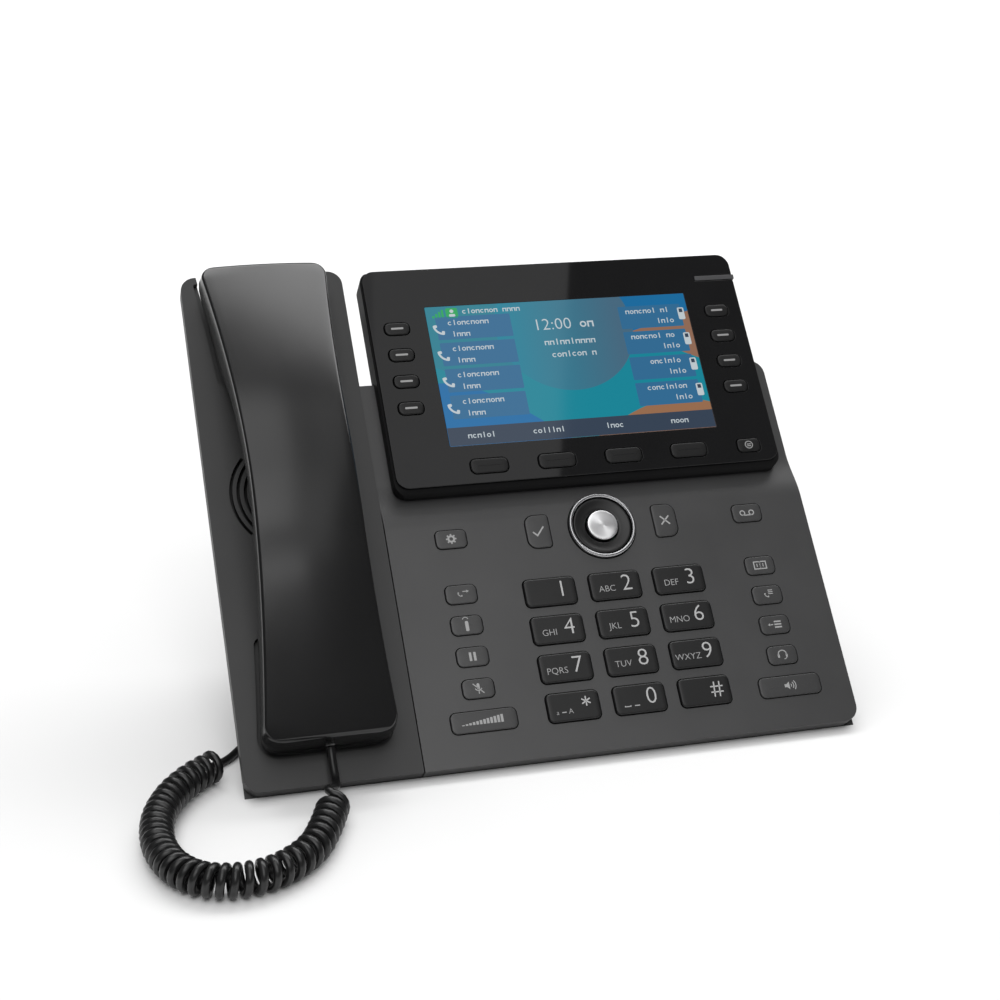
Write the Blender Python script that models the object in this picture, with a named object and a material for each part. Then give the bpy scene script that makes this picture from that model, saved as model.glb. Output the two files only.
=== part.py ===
"""Desk IP phone: grey key panel, handset cradle, raised display, desk stand and curly cord.

Panel coordinates are used for nearly every piece: X across, V up the sloping panel from its
lower front edge, H out of the panel. One empty carries them and tilts them onto the desk.
Lengths are in metres, +Z is up, and the desk is the plane Z = 0.
"""
import math

import bmesh
import bpy
from mathutils import Vector

MM = 0.001

# Driving dimensions
TILT = math.radians(47)
WIDTH = 236 * MM
CRADLE_WIDTH = 64.6 * MM
CRADLE_LENGTH = 210 * MM
PANEL_LENGTH = 159 * MM
EDGE_HEIGHT = 4.6 * MM            # the panel's lower front edge above the desk
DEPTH_CENTRE = 72.78 * MM         # from that edge back to the middle of the phone
RIM = 6.1 * MM                    # depth of the front pieces' rims
WALL = 2.4 * MM
GAP = 0.35 * MM
CORNER = 6 * MM
DECK = -3.5 * MM                  # the display's deck, below the key panel
DECK_START, DECK_END = 95 * MM, 115 * MM
BACK = -24.5 * MM
UPPER_BACK = -17 * MM
UPPER_END = 195 * MM
SIDE_LEAN = 0.33                  # how far the rear housing's sides draw in per unit of depth

LEFT = -WIDTH / 2
RIGHT = WIDTH / 2
SEAM = LEFT + CRADLE_WIDTH
CRADLE_X = LEFT + CRADLE_WIDTH / 2
PANEL_X = (SEAM + RIGHT) / 2

# Keys on the panel
KEY_TRAVEL = 1.1 * MM
KEY_RISE = 0.9 * MM
DIAL_PITCH_X, DIAL_PITCH_V = 26.1 * MM, 15.3 * MM
DIAL_TOP_V = 63.9 * MM
DIAL_SIZE = (20.4 * MM, 11.2 * MM)
SIDE_COLUMN = 60.7 * MM
SIDE_TOP_V, SIDE_PITCH_V = 66.4 * MM, 12.5 * MM
SIDE_SIZE = (12 * MM, 7.4 * MM)
WIDE_SIZE = (25 * MM, 8 * MM)
NAV_V = 89.1 * MM
TRIM_RADIUS, TRIM_INNER = 13.5 * MM, 12.0 * MM
RING_RADIUS, RING_INNER = 11.6 * MM, 6.8 * MM
KNOB_RADIUS = 6.2 * MM

# Display
DISPLAY_WIDTH = 159 * MM
DISPLAY_BOTTOM, DISPLAY_TOP = 107.3 * MM, 207 * MM
LENS_BACK, LENS_FRONT = 3.3 * MM, 4.3 * MM
LENS_INSET = 0.8 * MM
LENS_BOTTOM = 109.8 * MM
SCREEN_V = 157.3 * MM
LINE_KEY_X, LINE_TOP_V, LINE_PITCH = 68 * MM, 179.3 * MM, 11.83 * MM
SOFT_KEY_V, SOFT_PITCH = 116.8 * MM, 27.5 * MM
LIGHT_V = 195.2 * MM

# Handset
HANDSET_LOW, HANDSET_HIGH = 12.5 * MM, 206.5 * MM
HANDSET_MID = 107 * MM
HANDSET_WAIST, HANDSET_FLARE = 19.2 * MM, 6.6 * MM
HANDSET_LEAN = 0.8 * MM    # how far the sides lean in at the ends
HANDSET_X = CRADLE_X - 1.1 * MM
CUP_FLOOR = -2.5 * MM
CUP_GAP = 0.4 * MM
MOUTH_CUP = (11 * MM, 57.5 * MM, 9 * MM, 3 * MM)    # low and high ends and their corner radii
EAR_CUP = (161 * MM, 197.3 * MM, 3 * MM, 0.1 * MM)
PAD = -1.9 * MM
NOTCH_V = 197 * MM
NOTCH_INSET = 1.6 * MM    # how far the notch lies inside the handset's plan
GRILLE_V = 114 * MM
HOOK_V = 178 * MM

# Cord
COIL_DIAMETER = 12 * MM
WIRE_DIAMETER = 3 * MM
PLUG_SOCKET_H = 5.2 * MM
BASE_SOCKET = (-98 * MM, 50 * MM)


def clear_scene():
    for item in list(bpy.data.objects):
        bpy.data.objects.remove(item, do_unlink=True)


def make_empty(name, location, tilt):
    empty = bpy.data.objects.new(name, None)
    empty.location = location
    empty.rotation_euler = (tilt, 0, 0)
    bpy.context.collection.objects.link(empty)
    return empty


clear_scene()
PANEL = make_empty("panel_frame", (0, -DEPTH_CENTRE, EDGE_HEIGHT), TILT)
BASE = make_empty("base_frame", (0, -DEPTH_CENTRE, 0), 0)


def plastic(name, colour, roughness, metallic=0.0, alpha=1.0):
    material = bpy.data.materials.new(name)
    material.use_nodes = True
    shader = material.node_tree.nodes["Principled BSDF"]
    shader.inputs["Base Color"].default_value = (*colour, 1)
    shader.inputs["Roughness"].default_value = roughness
    shader.inputs["Metallic"].default_value = metallic
    shader.inputs["Alpha"].default_value = alpha
    material.diffuse_color = (*colour, alpha)
    return material


GREY = plastic("grey_satin", (0.075, 0.076, 0.08), 0.42)
CRADLE_GREY = plastic("cradle_matte", (0.028, 0.028, 0.03), 0.55)
BLACK = plastic("black_matte", (0.012, 0.012, 0.013), 0.5)
SATIN_BLACK = plastic("handset_satin", (0.014, 0.014, 0.015), 0.33)
GLOSS_BLACK = plastic("gloss_black", (0.008, 0.008, 0.009), 0.12)
KEY_BLACK = plastic("dial_key_black", (0.015, 0.015, 0.016), 0.35)
KEY_GREY = plastic("function_key_grey", (0.07, 0.071, 0.075), 0.4)
LENS = plastic("smoked_lens", (0.01, 0.01, 0.012), 0.05, alpha=0.5)
SCREEN = plastic("screen", (0.05, 0.35, 0.42), 0.3)
SILVER = plastic("silver_trim", (0.75, 0.75, 0.76), 0.22, metallic=1.0)
BRUSHED = plastic("brushed_knob", (0.6, 0.6, 0.61), 0.35, metallic=1.0)
LIGHT = plastic("message_light", (0.16, 0.16, 0.17), 0.3)
BOARD = plastic("circuit_board", (0.01, 0.12, 0.05), 0.5)
STEEL = plastic("speaker_steel", (0.35, 0.35, 0.36), 0.4, metallic=1.0)
RUBBER = plastic("cord_rubber", (0.01, 0.01, 0.011), 0.4)
CLEAR = plastic("clear_plug", (0.5, 0.5, 0.48), 0.15, alpha=0.6)


def finish(name, mesh_data, parent, material, hidden=False, origin=(0, 0, 0)):
    """Link a bmesh as one object, with outward normals and its own origin."""
    bmesh.ops.recalc_face_normals(mesh_data, faces=mesh_data.faces)
    bmesh.ops.translate(mesh_data, verts=mesh_data.verts, vec=-Vector(origin))
    mesh = bpy.data.meshes.new(name)
    mesh_data.to_mesh(mesh)
    mesh_data.free()
    piece = bpy.data.objects.new(name, mesh)
    bpy.context.collection.objects.link(piece)
    piece.parent = parent
    piece.location = origin
    if hidden:
        piece.hide_render = True
        piece.display_type = 'WIRE'
    else:
        mesh.materials.append(material)
    return piece


def add_loft(mesh_data, rings):
    """Skin rings of equal length and close both ends."""
    loops = [[mesh_data.verts.new(point) for point in ring] for ring in rings]
    count = len(loops[0])
    for low, high in zip(loops, loops[1:]):
        for index in range(count):
            after = (index + 1) % count
            mesh_data.faces.new((low[index], low[after], high[after], high[index]))
    mesh_data.faces.new(loops[0][::-1])
    mesh_data.faces.new(loops[-1])


def loft(name, rings, material, parent=PANEL, hidden=False, origin=(0, 0, 0)):
    mesh_data = bmesh.new()
    add_loft(mesh_data, rings)
    return finish(name, mesh_data, parent, material, hidden, origin)


def rounded(x, v, width, height, radii, steps=2):
    """Rectangle outline with its own radius at each corner: right top, left top, left low, right low."""
    if not isinstance(radii, tuple):
        radii = (radii,) * 4
    corners = ((1, 1), (-1, 1), (-1, -1), (1, -1))
    points = []
    for quarter, ((sx, sv), radius) in enumerate(zip(corners, radii)):
        for step in range(steps + 1):
            angle = math.radians(90 * (quarter + step / steps))
            points.append((x + sx * (width / 2 - radius) + radius * math.cos(angle),
                           v + sv * (height / 2 - radius) + radius * math.sin(angle)))
    return points


def circle(x, v, radius, count=24):
    angles = [math.tau * index / count for index in range(count)]
    return [(x + radius * math.cos(angle), v + radius * math.sin(angle)) for angle in angles]


def at(outline, height):
    return [(x, v, height) for x, v in outline]


def prism(name, outline, low, high, material=None, parent=PANEL, hidden=False):
    return loft(name, [at(outline, low), at(outline, high)], material, parent, hidden)


def extrude_profile(name, profile, x_low, x_high, material=None, parent=PANEL, hidden=False):
    """Solid with a constant side profile, given as (v, h) points."""
    rings = [[(x, v, h) for v, h in profile] for x in (x_low, x_high)]
    return loft(name, rings, material, parent, hidden)


def draw_in(h):
    """How far inside the front pieces' outline the rear housing's side is at a height."""
    return SIDE_LEAN * (-RIM - h)


def combine(target, tool, operation='DIFFERENCE'):
    change = target.modifiers.new(tool.name, 'BOOLEAN')
    change.operation = operation
    change.solver = 'EXACT'
    change.object = tool


def cut_prisms(target, name, prisms):
    """Cut several separate prisms, each (outline, low, high), out of one object."""
    mesh_data = bmesh.new()
    for outline, low, high in prisms:
        add_loft(mesh_data, [at(outline, low), at(outline, high)])
    combine(target, finish(name, mesh_data, target.parent, None, hidden=True))


def box_outline(x_low, x_high, v_low, v_high):
    return [(x_low, v_low), (x_high, v_low), (x_high, v_high), (x_low, v_high)]


def smooth(value):
    value = min(max(value, 0), 1)
    return value * value * (3 - 2 * value)


def panel_height(v):
    """Height of the panel's face: the key area, then the step down to the display's deck."""
    return DECK * smooth((v - DECK_START) / (DECK_END - DECK_START))


def face_profile(v_low, v_high, offset):
    """Points along the panel's face from v_low to v_high, moved down by offset."""
    steps = 8
    span = DECK_END - DECK_START
    middle = [DECK_START + span * index / steps for index in range(steps + 1)]
    return [(v, panel_height(v) - offset) for v in (v_low, *middle, v_high)]


def to_base(v, h):
    """A point of the panel's side view in the upright base frame, as (y, z)."""
    return (v * math.cos(TILT) - h * math.sin(TILT),
            EDGE_HEIGHT + v * math.sin(TILT) + h * math.cos(TILT))


def to_world(x, v, h):
    y, z = to_base(v, h)
    return (x, y - DEPTH_CENTRE, z)


# ---------------------------------------------------------------- keys

FLANGE = 0.8 * MM
CHAMFER = 0.4 * MM
THROUGH = (-9 * MM, 6 * MM)       # heights a cutter spans to go right through a front piece
ROCKER_PIVOT = -2 * MM
RING_PIVOT = -1.5 * MM


def key(name, x, v, size, radii, material, top=KEY_RISE, flange_top=-2.75 * MM,
        flange_depth=1.2 * MM, pivot=0):
    """A key cap whose hidden flange keeps it behind the panel, its origin at height pivot."""
    width, height = size
    wide = rounded(x, v, width + 2 * FLANGE, height + 2 * FLANGE, radii)
    stem = rounded(x, v, width, height, radii)
    crown = rounded(x, v, width - 2 * CHAMFER, height - 2 * CHAMFER, radii)
    rings = [at(wide, flange_top - flange_depth), at(wide, flange_top), at(stem, flange_top),
             at(stem, top - CHAMFER), at(crown, top)]
    return loft(name, rings, material, origin=(x, v, pivot))


def hole(x, v, size, radii):
    return (rounded(x, v, size[0] + 2 * GAP, size[1] + 2 * GAP, radii), *THROUGH)


DIAL_NAMES = ("1", "2", "3", "4", "5", "6", "7", "8", "9", "star", "0", "hash")
LEFT_NAMES = ("transfer_key", "paging_key", "hold_key", "mute_key")
RIGHT_NAMES = ("directory_key", "call_log_key", "menu_list_key", "headset_key")


def panel_keys():
    """Name, x, v, size, radii, material and flange height of every key on the panel."""
    keys = []
    for index, label in enumerate(DIAL_NAMES):
        x = PANEL_X + (index % 3 - 1) * DIAL_PITCH_X
        v = DIAL_TOP_V - index // 3 * DIAL_PITCH_V
        keys.append((f"dial_key_{label}", x, v, DIAL_SIZE, 2.1 * MM, KEY_BLACK))
    for side, names in ((-1, LEFT_NAMES), (1, RIGHT_NAMES)):
        for index, label in enumerate(names):
            v = SIDE_TOP_V - index * SIDE_PITCH_V
            keys.append((label, PANEL_X + side * SIDE_COLUMN, v, SIDE_SIZE, 2.2 * MM, KEY_GREY))
    low_v = SIDE_TOP_V - 4 * SIDE_PITCH_V
    keys.append(("volume_rocker", PANEL_X - SIDE_COLUMN, low_v, WIDE_SIZE, 2.2 * MM, KEY_GREY))
    keys.append(("speaker_key", PANEL_X + SIDE_COLUMN, low_v, WIDE_SIZE, 2.2 * MM, KEY_GREY))
    keys.append(("settings_key", PANEL_X - SIDE_COLUMN, NAV_V, SIDE_SIZE, 2 * MM, KEY_GREY))
    keys.append(("voicemail_key", PANEL_X + SIDE_COLUMN, NAV_V, SIDE_SIZE, 2 * MM, KEY_GREY))
    tall = (9.4 * MM, 13.6 * MM)
    blunt, sharp = 3.6 * MM, 1.5 * MM
    keys.append(("confirm_key", PANEL_X - 26 * MM, NAV_V, tall,
                 (sharp, blunt, blunt, sharp), KEY_GREY))
    keys.append(("cancel_key", PANEL_X + 26 * MM, NAV_V, tall,
                 (blunt, sharp, sharp, blunt), KEY_GREY))
    return keys


def display_keys():
    """Name, x, v, size and radius of every key on the display."""
    keys = []
    for side, label in ((-1, "left"), (1, "right")):
        for index in range(4):
            keys.append((f"line_key_{label}_{index + 1}", PANEL_X + side * LINE_KEY_X,
                         LINE_TOP_V - index * LINE_PITCH, (10 * MM, 5.3 * MM), 2.2 * MM))
    for index in range(4):
        keys.append((f"soft_key_{index + 1}", PANEL_X + (index - 1.5) * SOFT_PITCH, SOFT_KEY_V,
                     (15 * MM, 6 * MM), 2.2 * MM))
    keys.append(("page_key", PANEL_X + 67 * MM, SOFT_KEY_V, (9.6 * MM, 5.6 * MM), 1.8 * MM))
    return keys


def make_panel_keys():
    for name, x, v, size, radii, material in panel_keys():
        rocker = name == "volume_rocker"
        key(name, x, v, size, radii, material, top=0.6 * MM if material is KEY_GREY else KEY_RISE,
            flange_top=-3.4 * MM if rocker else -2.75 * MM, flange_depth=1.1 * MM,
            pivot=ROCKER_PIVOT if rocker else 0)


def make_display_keys():
    for name, x, v, size, radius in display_keys():
        key(name, x, v, size, radius, GLOSS_BLACK, top=LENS_FRONT + 0.5 * MM,
            flange_top=2.9 * MM, flange_depth=1.2 * MM)


# ---------------------------------------------------------------- housings

def make_front_housing():
    outline = rounded((SEAM + 0.2 * MM + RIGHT) / 2, PANEL_LENGTH / 2, RIGHT - SEAM - 0.2 * MM,
                      PANEL_LENGTH, (CORNER, 0.3 * MM, 0.3 * MM, CORNER), steps=4)
    housing = prism("front_housing", outline, -RIM, 2 * MM, GREY)
    above = face_profile(-10 * MM, PANEL_LENGTH + 10 * MM, 0)
    above += [(PANEL_LENGTH + 10 * MM, 10 * MM), (-10 * MM, 10 * MM)]
    combine(housing, extrude_profile("face_cutter", above, SEAM - 10 * MM, RIGHT + 10 * MM, hidden=True))
    below = face_profile(WALL, PANEL_LENGTH - WALL, WALL)
    below += [(PANEL_LENGTH - WALL, -12 * MM), (WALL, -12 * MM)]
    combine(housing, extrude_profile("inside_cutter", below, SEAM + WALL, RIGHT - WALL, hidden=True))
    holes = [hole(x, v, size, radii) for _, x, v, size, radii, _ in panel_keys()]
    holes.append((circle(PANEL_X, NAV_V, TRIM_RADIUS + GAP), *THROUGH))
    ribbon = box_outline(PANEL_X - 15 * MM, PANEL_X + 15 * MM, 132 * MM, 137 * MM)
    holes.append((ribbon, *THROUGH))
    cut_prisms(housing, "key_hole_cutters", holes)


def arc_slot(radius, half_width, centre_angle, half_angle):
    """Outline of one curved speaker slot about the cradle's grille centre."""
    steps = 8
    angles = [centre_angle + half_angle * (2 * index / steps - 1) for index in range(steps + 1)]
    outer = [(radius + half_width, angle) for angle in angles]
    inner = [(radius - half_width, angle) for angle in reversed(angles)]
    return [(CRADLE_X + r * math.cos(angle), GRILLE_V + r * math.sin(angle)) for r, angle in outer + inner]


def cup_outline(low, high, low_round, high_round):
    """The handset's plan between two places along it, with clearance and rounded corners."""
    right = []
    for step in range(5):
        angle = math.radians(22.5 * step - 90)
        right.append((low + low_round * (1 + math.sin(angle)), low_round * (1 - math.cos(angle))))
    for step in range(1, 5):
        right.append((low + low_round + (high - high_round - low - low_round) * step / 5, 0))
    for step in range(5):
        angle = math.radians(22.5 * step)
        right.append((high - high_round * (1 - math.sin(angle)), high_round * (1 - math.cos(angle))))
    half = [(handset_half_width(v) + CUP_GAP - inset, v) for v, inset in right]
    return [(HANDSET_X + x, v) for x, v in half] + [(HANDSET_X - x, v) for x, v in half[::-1]]


def make_cradle():
    outline = rounded(CRADLE_X - 0.1 * MM, CRADLE_LENGTH / 2, CRADLE_WIDTH - 0.2 * MM, CRADLE_LENGTH,
                      (CORNER, CORNER, CORNER, 0.3 * MM), steps=4)
    cradle = prism("cradle", outline, -RIM, 0, CRADLE_GREY)
    notch = []
    for v in (NOTCH_V, CRADLE_LENGTH + 10 * MM):
        half = handset_half_width(v) - NOTCH_INSET
        notch += [(HANDSET_X - half, v), (HANDSET_X + half, v)]
    notch = [notch[0], notch[1], notch[3], notch[2]]
    inside_low, inside_high = LEFT + WALL, SEAM - WALL
    shallow = box_outline(inside_low, inside_high, WALL, 61 * MM)
    upper = box_outline(inside_low, inside_high, 157 * MM, 191 * MM)
    deep = box_outline(inside_low, inside_high, 61 * MM, 157 * MM)
    cut_prisms(cradle, "notch_cutter", [(notch, -12 * MM, 6 * MM)])
    cut_prisms(cradle, "cradle_inside_deep", [(deep, -12 * MM, -2.6 * MM)])
    cut_prisms(cradle, "cradle_inside_shallow",
               [(shallow, -12 * MM, -5.2 * MM), (upper, -12 * MM, -5.2 * MM)])
    mouth_cup = cup_outline(*MOUTH_CUP)
    ear_cup = cup_outline(*EAR_CUP)
    cut_prisms(cradle, "cup_cutters", [(mouth_cup, CUP_FLOOR, 6 * MM), (ear_cup, CUP_FLOOR, 6 * MM)])
    slots = []
    for radius in (18.0 * MM, 20.75 * MM, 23.45 * MM):
        for centre in (0, math.pi):
            slots.append((arc_slot(radius, 0.6 * MM, centre, math.radians(42)), *THROUGH))
    slots.append((rounded(CRADLE_X, HOOK_V, 8.8 * MM, 5.8 * MM, 1 * MM), *THROUGH))
    cut_prisms(cradle, "grille_cutters", slots)


def foot_v(h):
    """Where the desk plane crosses a given panel height."""
    return (-EDGE_HEIGHT - h * math.cos(TILT)) / math.sin(TILT)


SOCKETS = (("network", -22 * MM, 13 * MM, 11 * MM), ("computer", 0, 13 * MM, 11 * MM),
           ("headset", 22 * MM, 9 * MM, 8.6 * MM))
SOCKET_V = 45 * MM
HOOK_X, HOOK_SLOT_V = 50 * MM, 139.5 * MM


def make_rear_housing():
    top = -RIM - 0.5 * MM
    profile = [(foot_v(top), top), (foot_v(BACK), BACK), (PANEL_LENGTH - 8 * MM, BACK),
               (PANEL_LENGTH - 0.5 * MM, UPPER_BACK), (UPPER_END, UPPER_BACK), (UPPER_END, top)]
    housing = extrude_profile("rear_housing", profile, LEFT - 5 * MM, RIGHT + 5 * MM, BLACK)
    low_v = -5 * MM
    upper_x = SEAM - 0.4 * MM
    rings = []
    for height in (0, BACK - 5 * MM):
        left, right = LEFT + draw_in(height), RIGHT - draw_in(height)
        outline = rounded((left + right) / 2, (low_v + PANEL_LENGTH - 0.5 * MM) / 2, right - left,
                          PANEL_LENGTH - 0.5 * MM - low_v, (CORNER, 0.3 * MM, 0.3 * MM, 0.3 * MM), steps=4)
        shape = outline[:5] + [(upper_x, PANEL_LENGTH - 0.5 * MM), (upper_x, UPPER_END + 5 * MM),
                               (left, UPPER_END + 5 * MM), (left, low_v), (right, low_v)]
        rings.append(at(shape, height))
    plan = loft("rear_plan", rings, None, hidden=True)
    combine(housing, plan, 'INTERSECT')
    slope = (EDGE_HEIGHT - WALL) / math.cos(TILT)
    inner_low = 5 * MM
    inner = [(inner_low, 0), (inner_low, -slope - inner_low * math.tan(TILT)),
             ((-BACK - WALL - slope) / math.tan(TILT), BACK + WALL),
             (PANEL_LENGTH - 9 * MM, BACK + WALL), (PANEL_LENGTH - 3 * MM, UPPER_BACK + 1 * MM),
             (PANEL_LENGTH - 3 * MM, 0)]
    rings = [[(side * (RIGHT - WALL - draw_in(h)), v, h) for v, h in inner] for side in (-1, 1)]
    combine(housing, loft("rear_inside", rings, None, hidden=True))
    upper = box_outline(LEFT + WALL + draw_in(UPPER_BACK), upper_x - WALL,
                        PANEL_LENGTH - 10 * MM, UPPER_END - WALL)
    cut_prisms(housing, "rear_upper_inside", [(upper, UPPER_BACK + WALL, 0)])
    openings = [(rounded(PANEL_X + x, SOCKET_V, width, height, 0.5 * MM, steps=1), BACK - 5 * MM,
                 BACK + WALL + 3 * MM) for _, x, width, height in SOCKETS]
    openings.append((box_outline(BASE_SOCKET[0] - 4.2 * MM, BASE_SOCKET[0] + 4.2 * MM,
                                 BASE_SOCKET[1] - 3.6 * MM, BASE_SOCKET[1] + 3.6 * MM),
                     BACK - 5 * MM, BACK + WALL + 3 * MM))
    for side in (-1, 1):
        openings.append((box_outline(side * HOOK_X - 6.5 * MM, side * HOOK_X + 6.5 * MM,
                                     HOOK_SLOT_V - 2.3 * MM, HOOK_SLOT_V + 2.3 * MM),
                         BACK - 5 * MM, BACK + WALL + 3 * MM))
    cut_prisms(housing, "socket_cutters", openings)
    mesh_data = bmesh.new()
    for x in (-32 * MM, 98 * MM):
        for v in (24 * MM, 138 * MM):
            rings = [at(circle(x, v, 3.5 * MM, 8), BACK + 1 * MM), at(circle(x, v, 3 * MM, 8), -10.2 * MM)]
            add_loft(mesh_data, rings)
    combine(housing, finish("board_posts", mesh_data, PANEL, None, hidden=True), 'UNION')


def make_desk_stand():
    """A bent sheet with two side webs, clipped to the back by two tabs."""
    front, back = BACK - 0.4 * MM, BACK - 4 * MM
    top_v, low_v = 150 * MM, 72 * MM
    foot = 134 * MM
    crest = to_base(top_v, front)
    lean = (foot - crest[0]) / crest[1]
    sheet = 4 * MM
    inner_foot = foot - sheet * math.hypot(1, lean) - lean * sheet
    slope = math.tan(TILT)
    low_back = to_base(low_v, back)
    inner_y = ((inner_foot + lean * (sheet - low_back[1] + slope * low_back[0])) / (1 + lean * slope))
    inner_z = low_back[1] + slope * (inner_y - low_back[0])
    profile = [to_base(low_v, front), crest, (foot, 0), (foot - 22 * MM, 0), (foot - 22 * MM, sheet),
               (inner_foot, sheet), (inner_y, inner_z), low_back]
    half = 72 * MM
    stand = extrude_profile("desk_stand", profile, -half, half, BLACK, parent=BASE)
    web = [to_base(88 * MM, back + 1 * MM), to_base(143 * MM, back + 1 * MM),
           (inner_foot - lean * (inner_z * 0.3) + 1 * MM, inner_z * 0.35)]
    mesh_data = bmesh.new()
    for x_low in (-half + 4 * MM, half - 7 * MM):
        add_loft(mesh_data, [[(x, y, z) for y, z in web] for x in (x_low, x_low + 3 * MM)])
    combine(stand, finish("stand_webs", mesh_data, BASE, None, hidden=True), 'UNION')
    mesh_data = bmesh.new()
    for side in (-1, 1):
        tab = box_outline(side * HOOK_X - 6 * MM, side * HOOK_X + 6 * MM,
                          HOOK_SLOT_V - 1.8 * MM, HOOK_SLOT_V + 1.8 * MM)
        add_loft(mesh_data, [at(tab, front - 1 * MM), at(tab, BACK + WALL + 1.2 * MM)])
    combine(stand, finish("stand_tabs", mesh_data, PANEL, None, hidden=True), 'UNION')


def make_inner_pieces():
    board = box_outline(PANEL_X - 72 * MM, PANEL_X + 74 * MM, 14 * MM, 148 * MM)
    prism("main_board", board, -9.6 * MM, -8 * MM, BOARD)
    cone = ((12 * MM, -18 * MM), (12 * MM, -12 * MM), (26 * MM, -6 * MM), (27 * MM, -3.4 * MM))
    rings = [at(circle(CRADLE_X, GRILLE_V, radius), height) for radius, height in cone]
    loft("loudspeaker", rings, STEEL)
    plunger = rounded(CRADLE_X, HOOK_V, 8 * MM, 5 * MM, 1 * MM)
    plunger_top = rounded(CRADLE_X, HOOK_V, 6.6 * MM, 3.6 * MM, 0.8 * MM)
    loft("hook_switch", [at(plunger, -10 * MM), at(plunger, -2.9 * MM), at(plunger_top, -2.2 * MM)], BLACK,
         origin=(CRADLE_X, HOOK_V, -10 * MM))


# ---------------------------------------------------------------- display

def make_display():
    profile = [(LENS_BOTTOM, LENS_BACK - GAP), (DISPLAY_BOTTOM, 0.4 * MM), (DISPLAY_BOTTOM, -1.7 * MM),
               (DECK_END, DECK + GAP), (PANEL_LENGTH + 0.8 * MM, DECK + GAP),
               (PANEL_LENGTH + 0.8 * MM, -7 * MM), (DISPLAY_TOP - 4 * MM, -7 * MM),
               (DISPLAY_TOP, -4 * MM), (DISPLAY_TOP, 1.8 * MM), (DISPLAY_TOP - 1.2 * MM, LENS_BACK - GAP)]
    half = DISPLAY_WIDTH / 2
    housing = extrude_profile("display_housing", profile, PANEL_X - half, PANEL_X + half, BLACK)
    plan = rounded(PANEL_X, (DISPLAY_BOTTOM + DISPLAY_TOP) / 2, DISPLAY_WIDTH, DISPLAY_TOP - DISPLAY_BOTTOM,
                   5.5 * MM, steps=4)
    combine(housing, prism("display_plan", plan, -20 * MM, 20 * MM, hidden=True), 'INTERSECT')
    tray = rounded(PANEL_X, 158.7 * MM, DISPLAY_WIDTH - 2 * WALL, 92 * MM, 4 * MM)
    cut_prisms(housing, "tray_cutter", [(tray, -1.2 * MM, 20 * MM)])
    light_slot = box_outline(PANEL_X + 61.7 * MM, PANEL_X + half + 10 * MM,
                             LIGHT_V - 1.4 * MM, LIGHT_V + 1.4 * MM)
    cut_prisms(housing, "light_slot_cutter", [(light_slot, 1.2 * MM, 20 * MM)])
    lens_v = (LENS_BOTTOM + DISPLAY_TOP - LENS_INSET) / 2
    lens_height = DISPLAY_TOP - LENS_INSET - LENS_BOTTOM
    lens_width = DISPLAY_WIDTH - 2 * LENS_INSET
    lens = prism("display_lens", rounded(PANEL_X, lens_v, lens_width, lens_height, 5 * MM, steps=4),
                 LENS_BACK, LENS_FRONT, LENS)
    holes = [hole(x, v, size, radius) for _, x, v, size, radius in display_keys()]
    holes.append((light_slot, 0, 20 * MM))
    cut_prisms(lens, "lens_hole_cutters", holes)
    glass = rounded(PANEL_X, SCREEN_V, 119 * MM, 71 * MM, 1 * MM, steps=1)
    prism("lcd_panel", glass, -0.9 * MM, 2.9 * MM, SCREEN)
    bar = box_outline(PANEL_X + 62.1 * MM, PANEL_X + half + 0.1 * MM, LIGHT_V - 1 * MM, LIGHT_V + 1 * MM)
    prism("message_light", bar, 1.6 * MM, LENS_FRONT + 0.1 * MM, LIGHT)


# ---------------------------------------------------------------- navigation

def turned(name, profile, material, pivot=0, count=24):
    """A ring turned from a closed (radius, height) profile, its origin at height pivot."""
    mesh_data = bmesh.new()
    loops = []
    for radius, height in profile:
        ring = at(circle(PANEL_X, NAV_V, radius, count), height)
        loops.append([mesh_data.verts.new(point) for point in ring])
    for low, high in zip(loops, loops[1:] + loops[:1]):
        for index in range(count):
            after = (index + 1) % count
            mesh_data.faces.new((low[index], low[after], high[after], high[index]))
    return finish(name, mesh_data, PANEL, material, origin=(PANEL_X, NAV_V, pivot))


def make_navigation():
    trim = [(TRIM_RADIUS, -2.2 * MM), (TRIM_RADIUS, 0.9 * MM), (TRIM_RADIUS - 0.4 * MM, 1.5 * MM),
            (TRIM_INNER + 0.3 * MM, 1.5 * MM), (TRIM_INNER, 1 * MM), (TRIM_INNER, -2.2 * MM)]
    turned("nav_trim_ring", trim, SILVER)
    turned("nav_ring", [(RING_RADIUS, -3.4 * MM), (RING_RADIUS, 0.9 * MM), (RING_RADIUS - 2 * MM, 0.5 * MM),
                        (RING_INNER, 0), (RING_INNER, -3.4 * MM)], KEY_BLACK, RING_PIVOT)
    knob = ((KNOB_RADIUS, -3.6 * MM), (KNOB_RADIUS, 1.2 * MM), (KNOB_RADIUS - 0.5 * MM, 1.7 * MM))
    rings = [at(circle(PANEL_X, NAV_V, radius), height) for radius, height in knob]
    loft("nav_centre", rings, BRUSHED, origin=(PANEL_X, NAV_V, 0))


# ---------------------------------------------------------------- handset

def handset_half_width(v):
    reach = (v - HANDSET_MID) / (HANDSET_HIGH - HANDSET_MID)
    return HANDSET_WAIST + HANDSET_FLARE * reach * reach


def handset_ridge(v):
    """Height of the edge between the handset's face and its sides."""
    return 44.5 * MM - math.hypot(0.30 * (v - HANDSET_MID), 7.3 * MM)


def handset_underside(v):
    """The two pads that lie in the cups, and the arch between them."""
    arch = handset_ridge(v) - 17 * MM
    rise = smooth((v - 50 * MM) / (26 * MM)) * smooth((170 * MM - v) / (26 * MM))
    tip = 4.5 * MM * smooth((v - 190 * MM) / (HANDSET_HIGH - 190 * MM)) ** 2
    return PAD + (arch - PAD) * rise + tip


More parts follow.
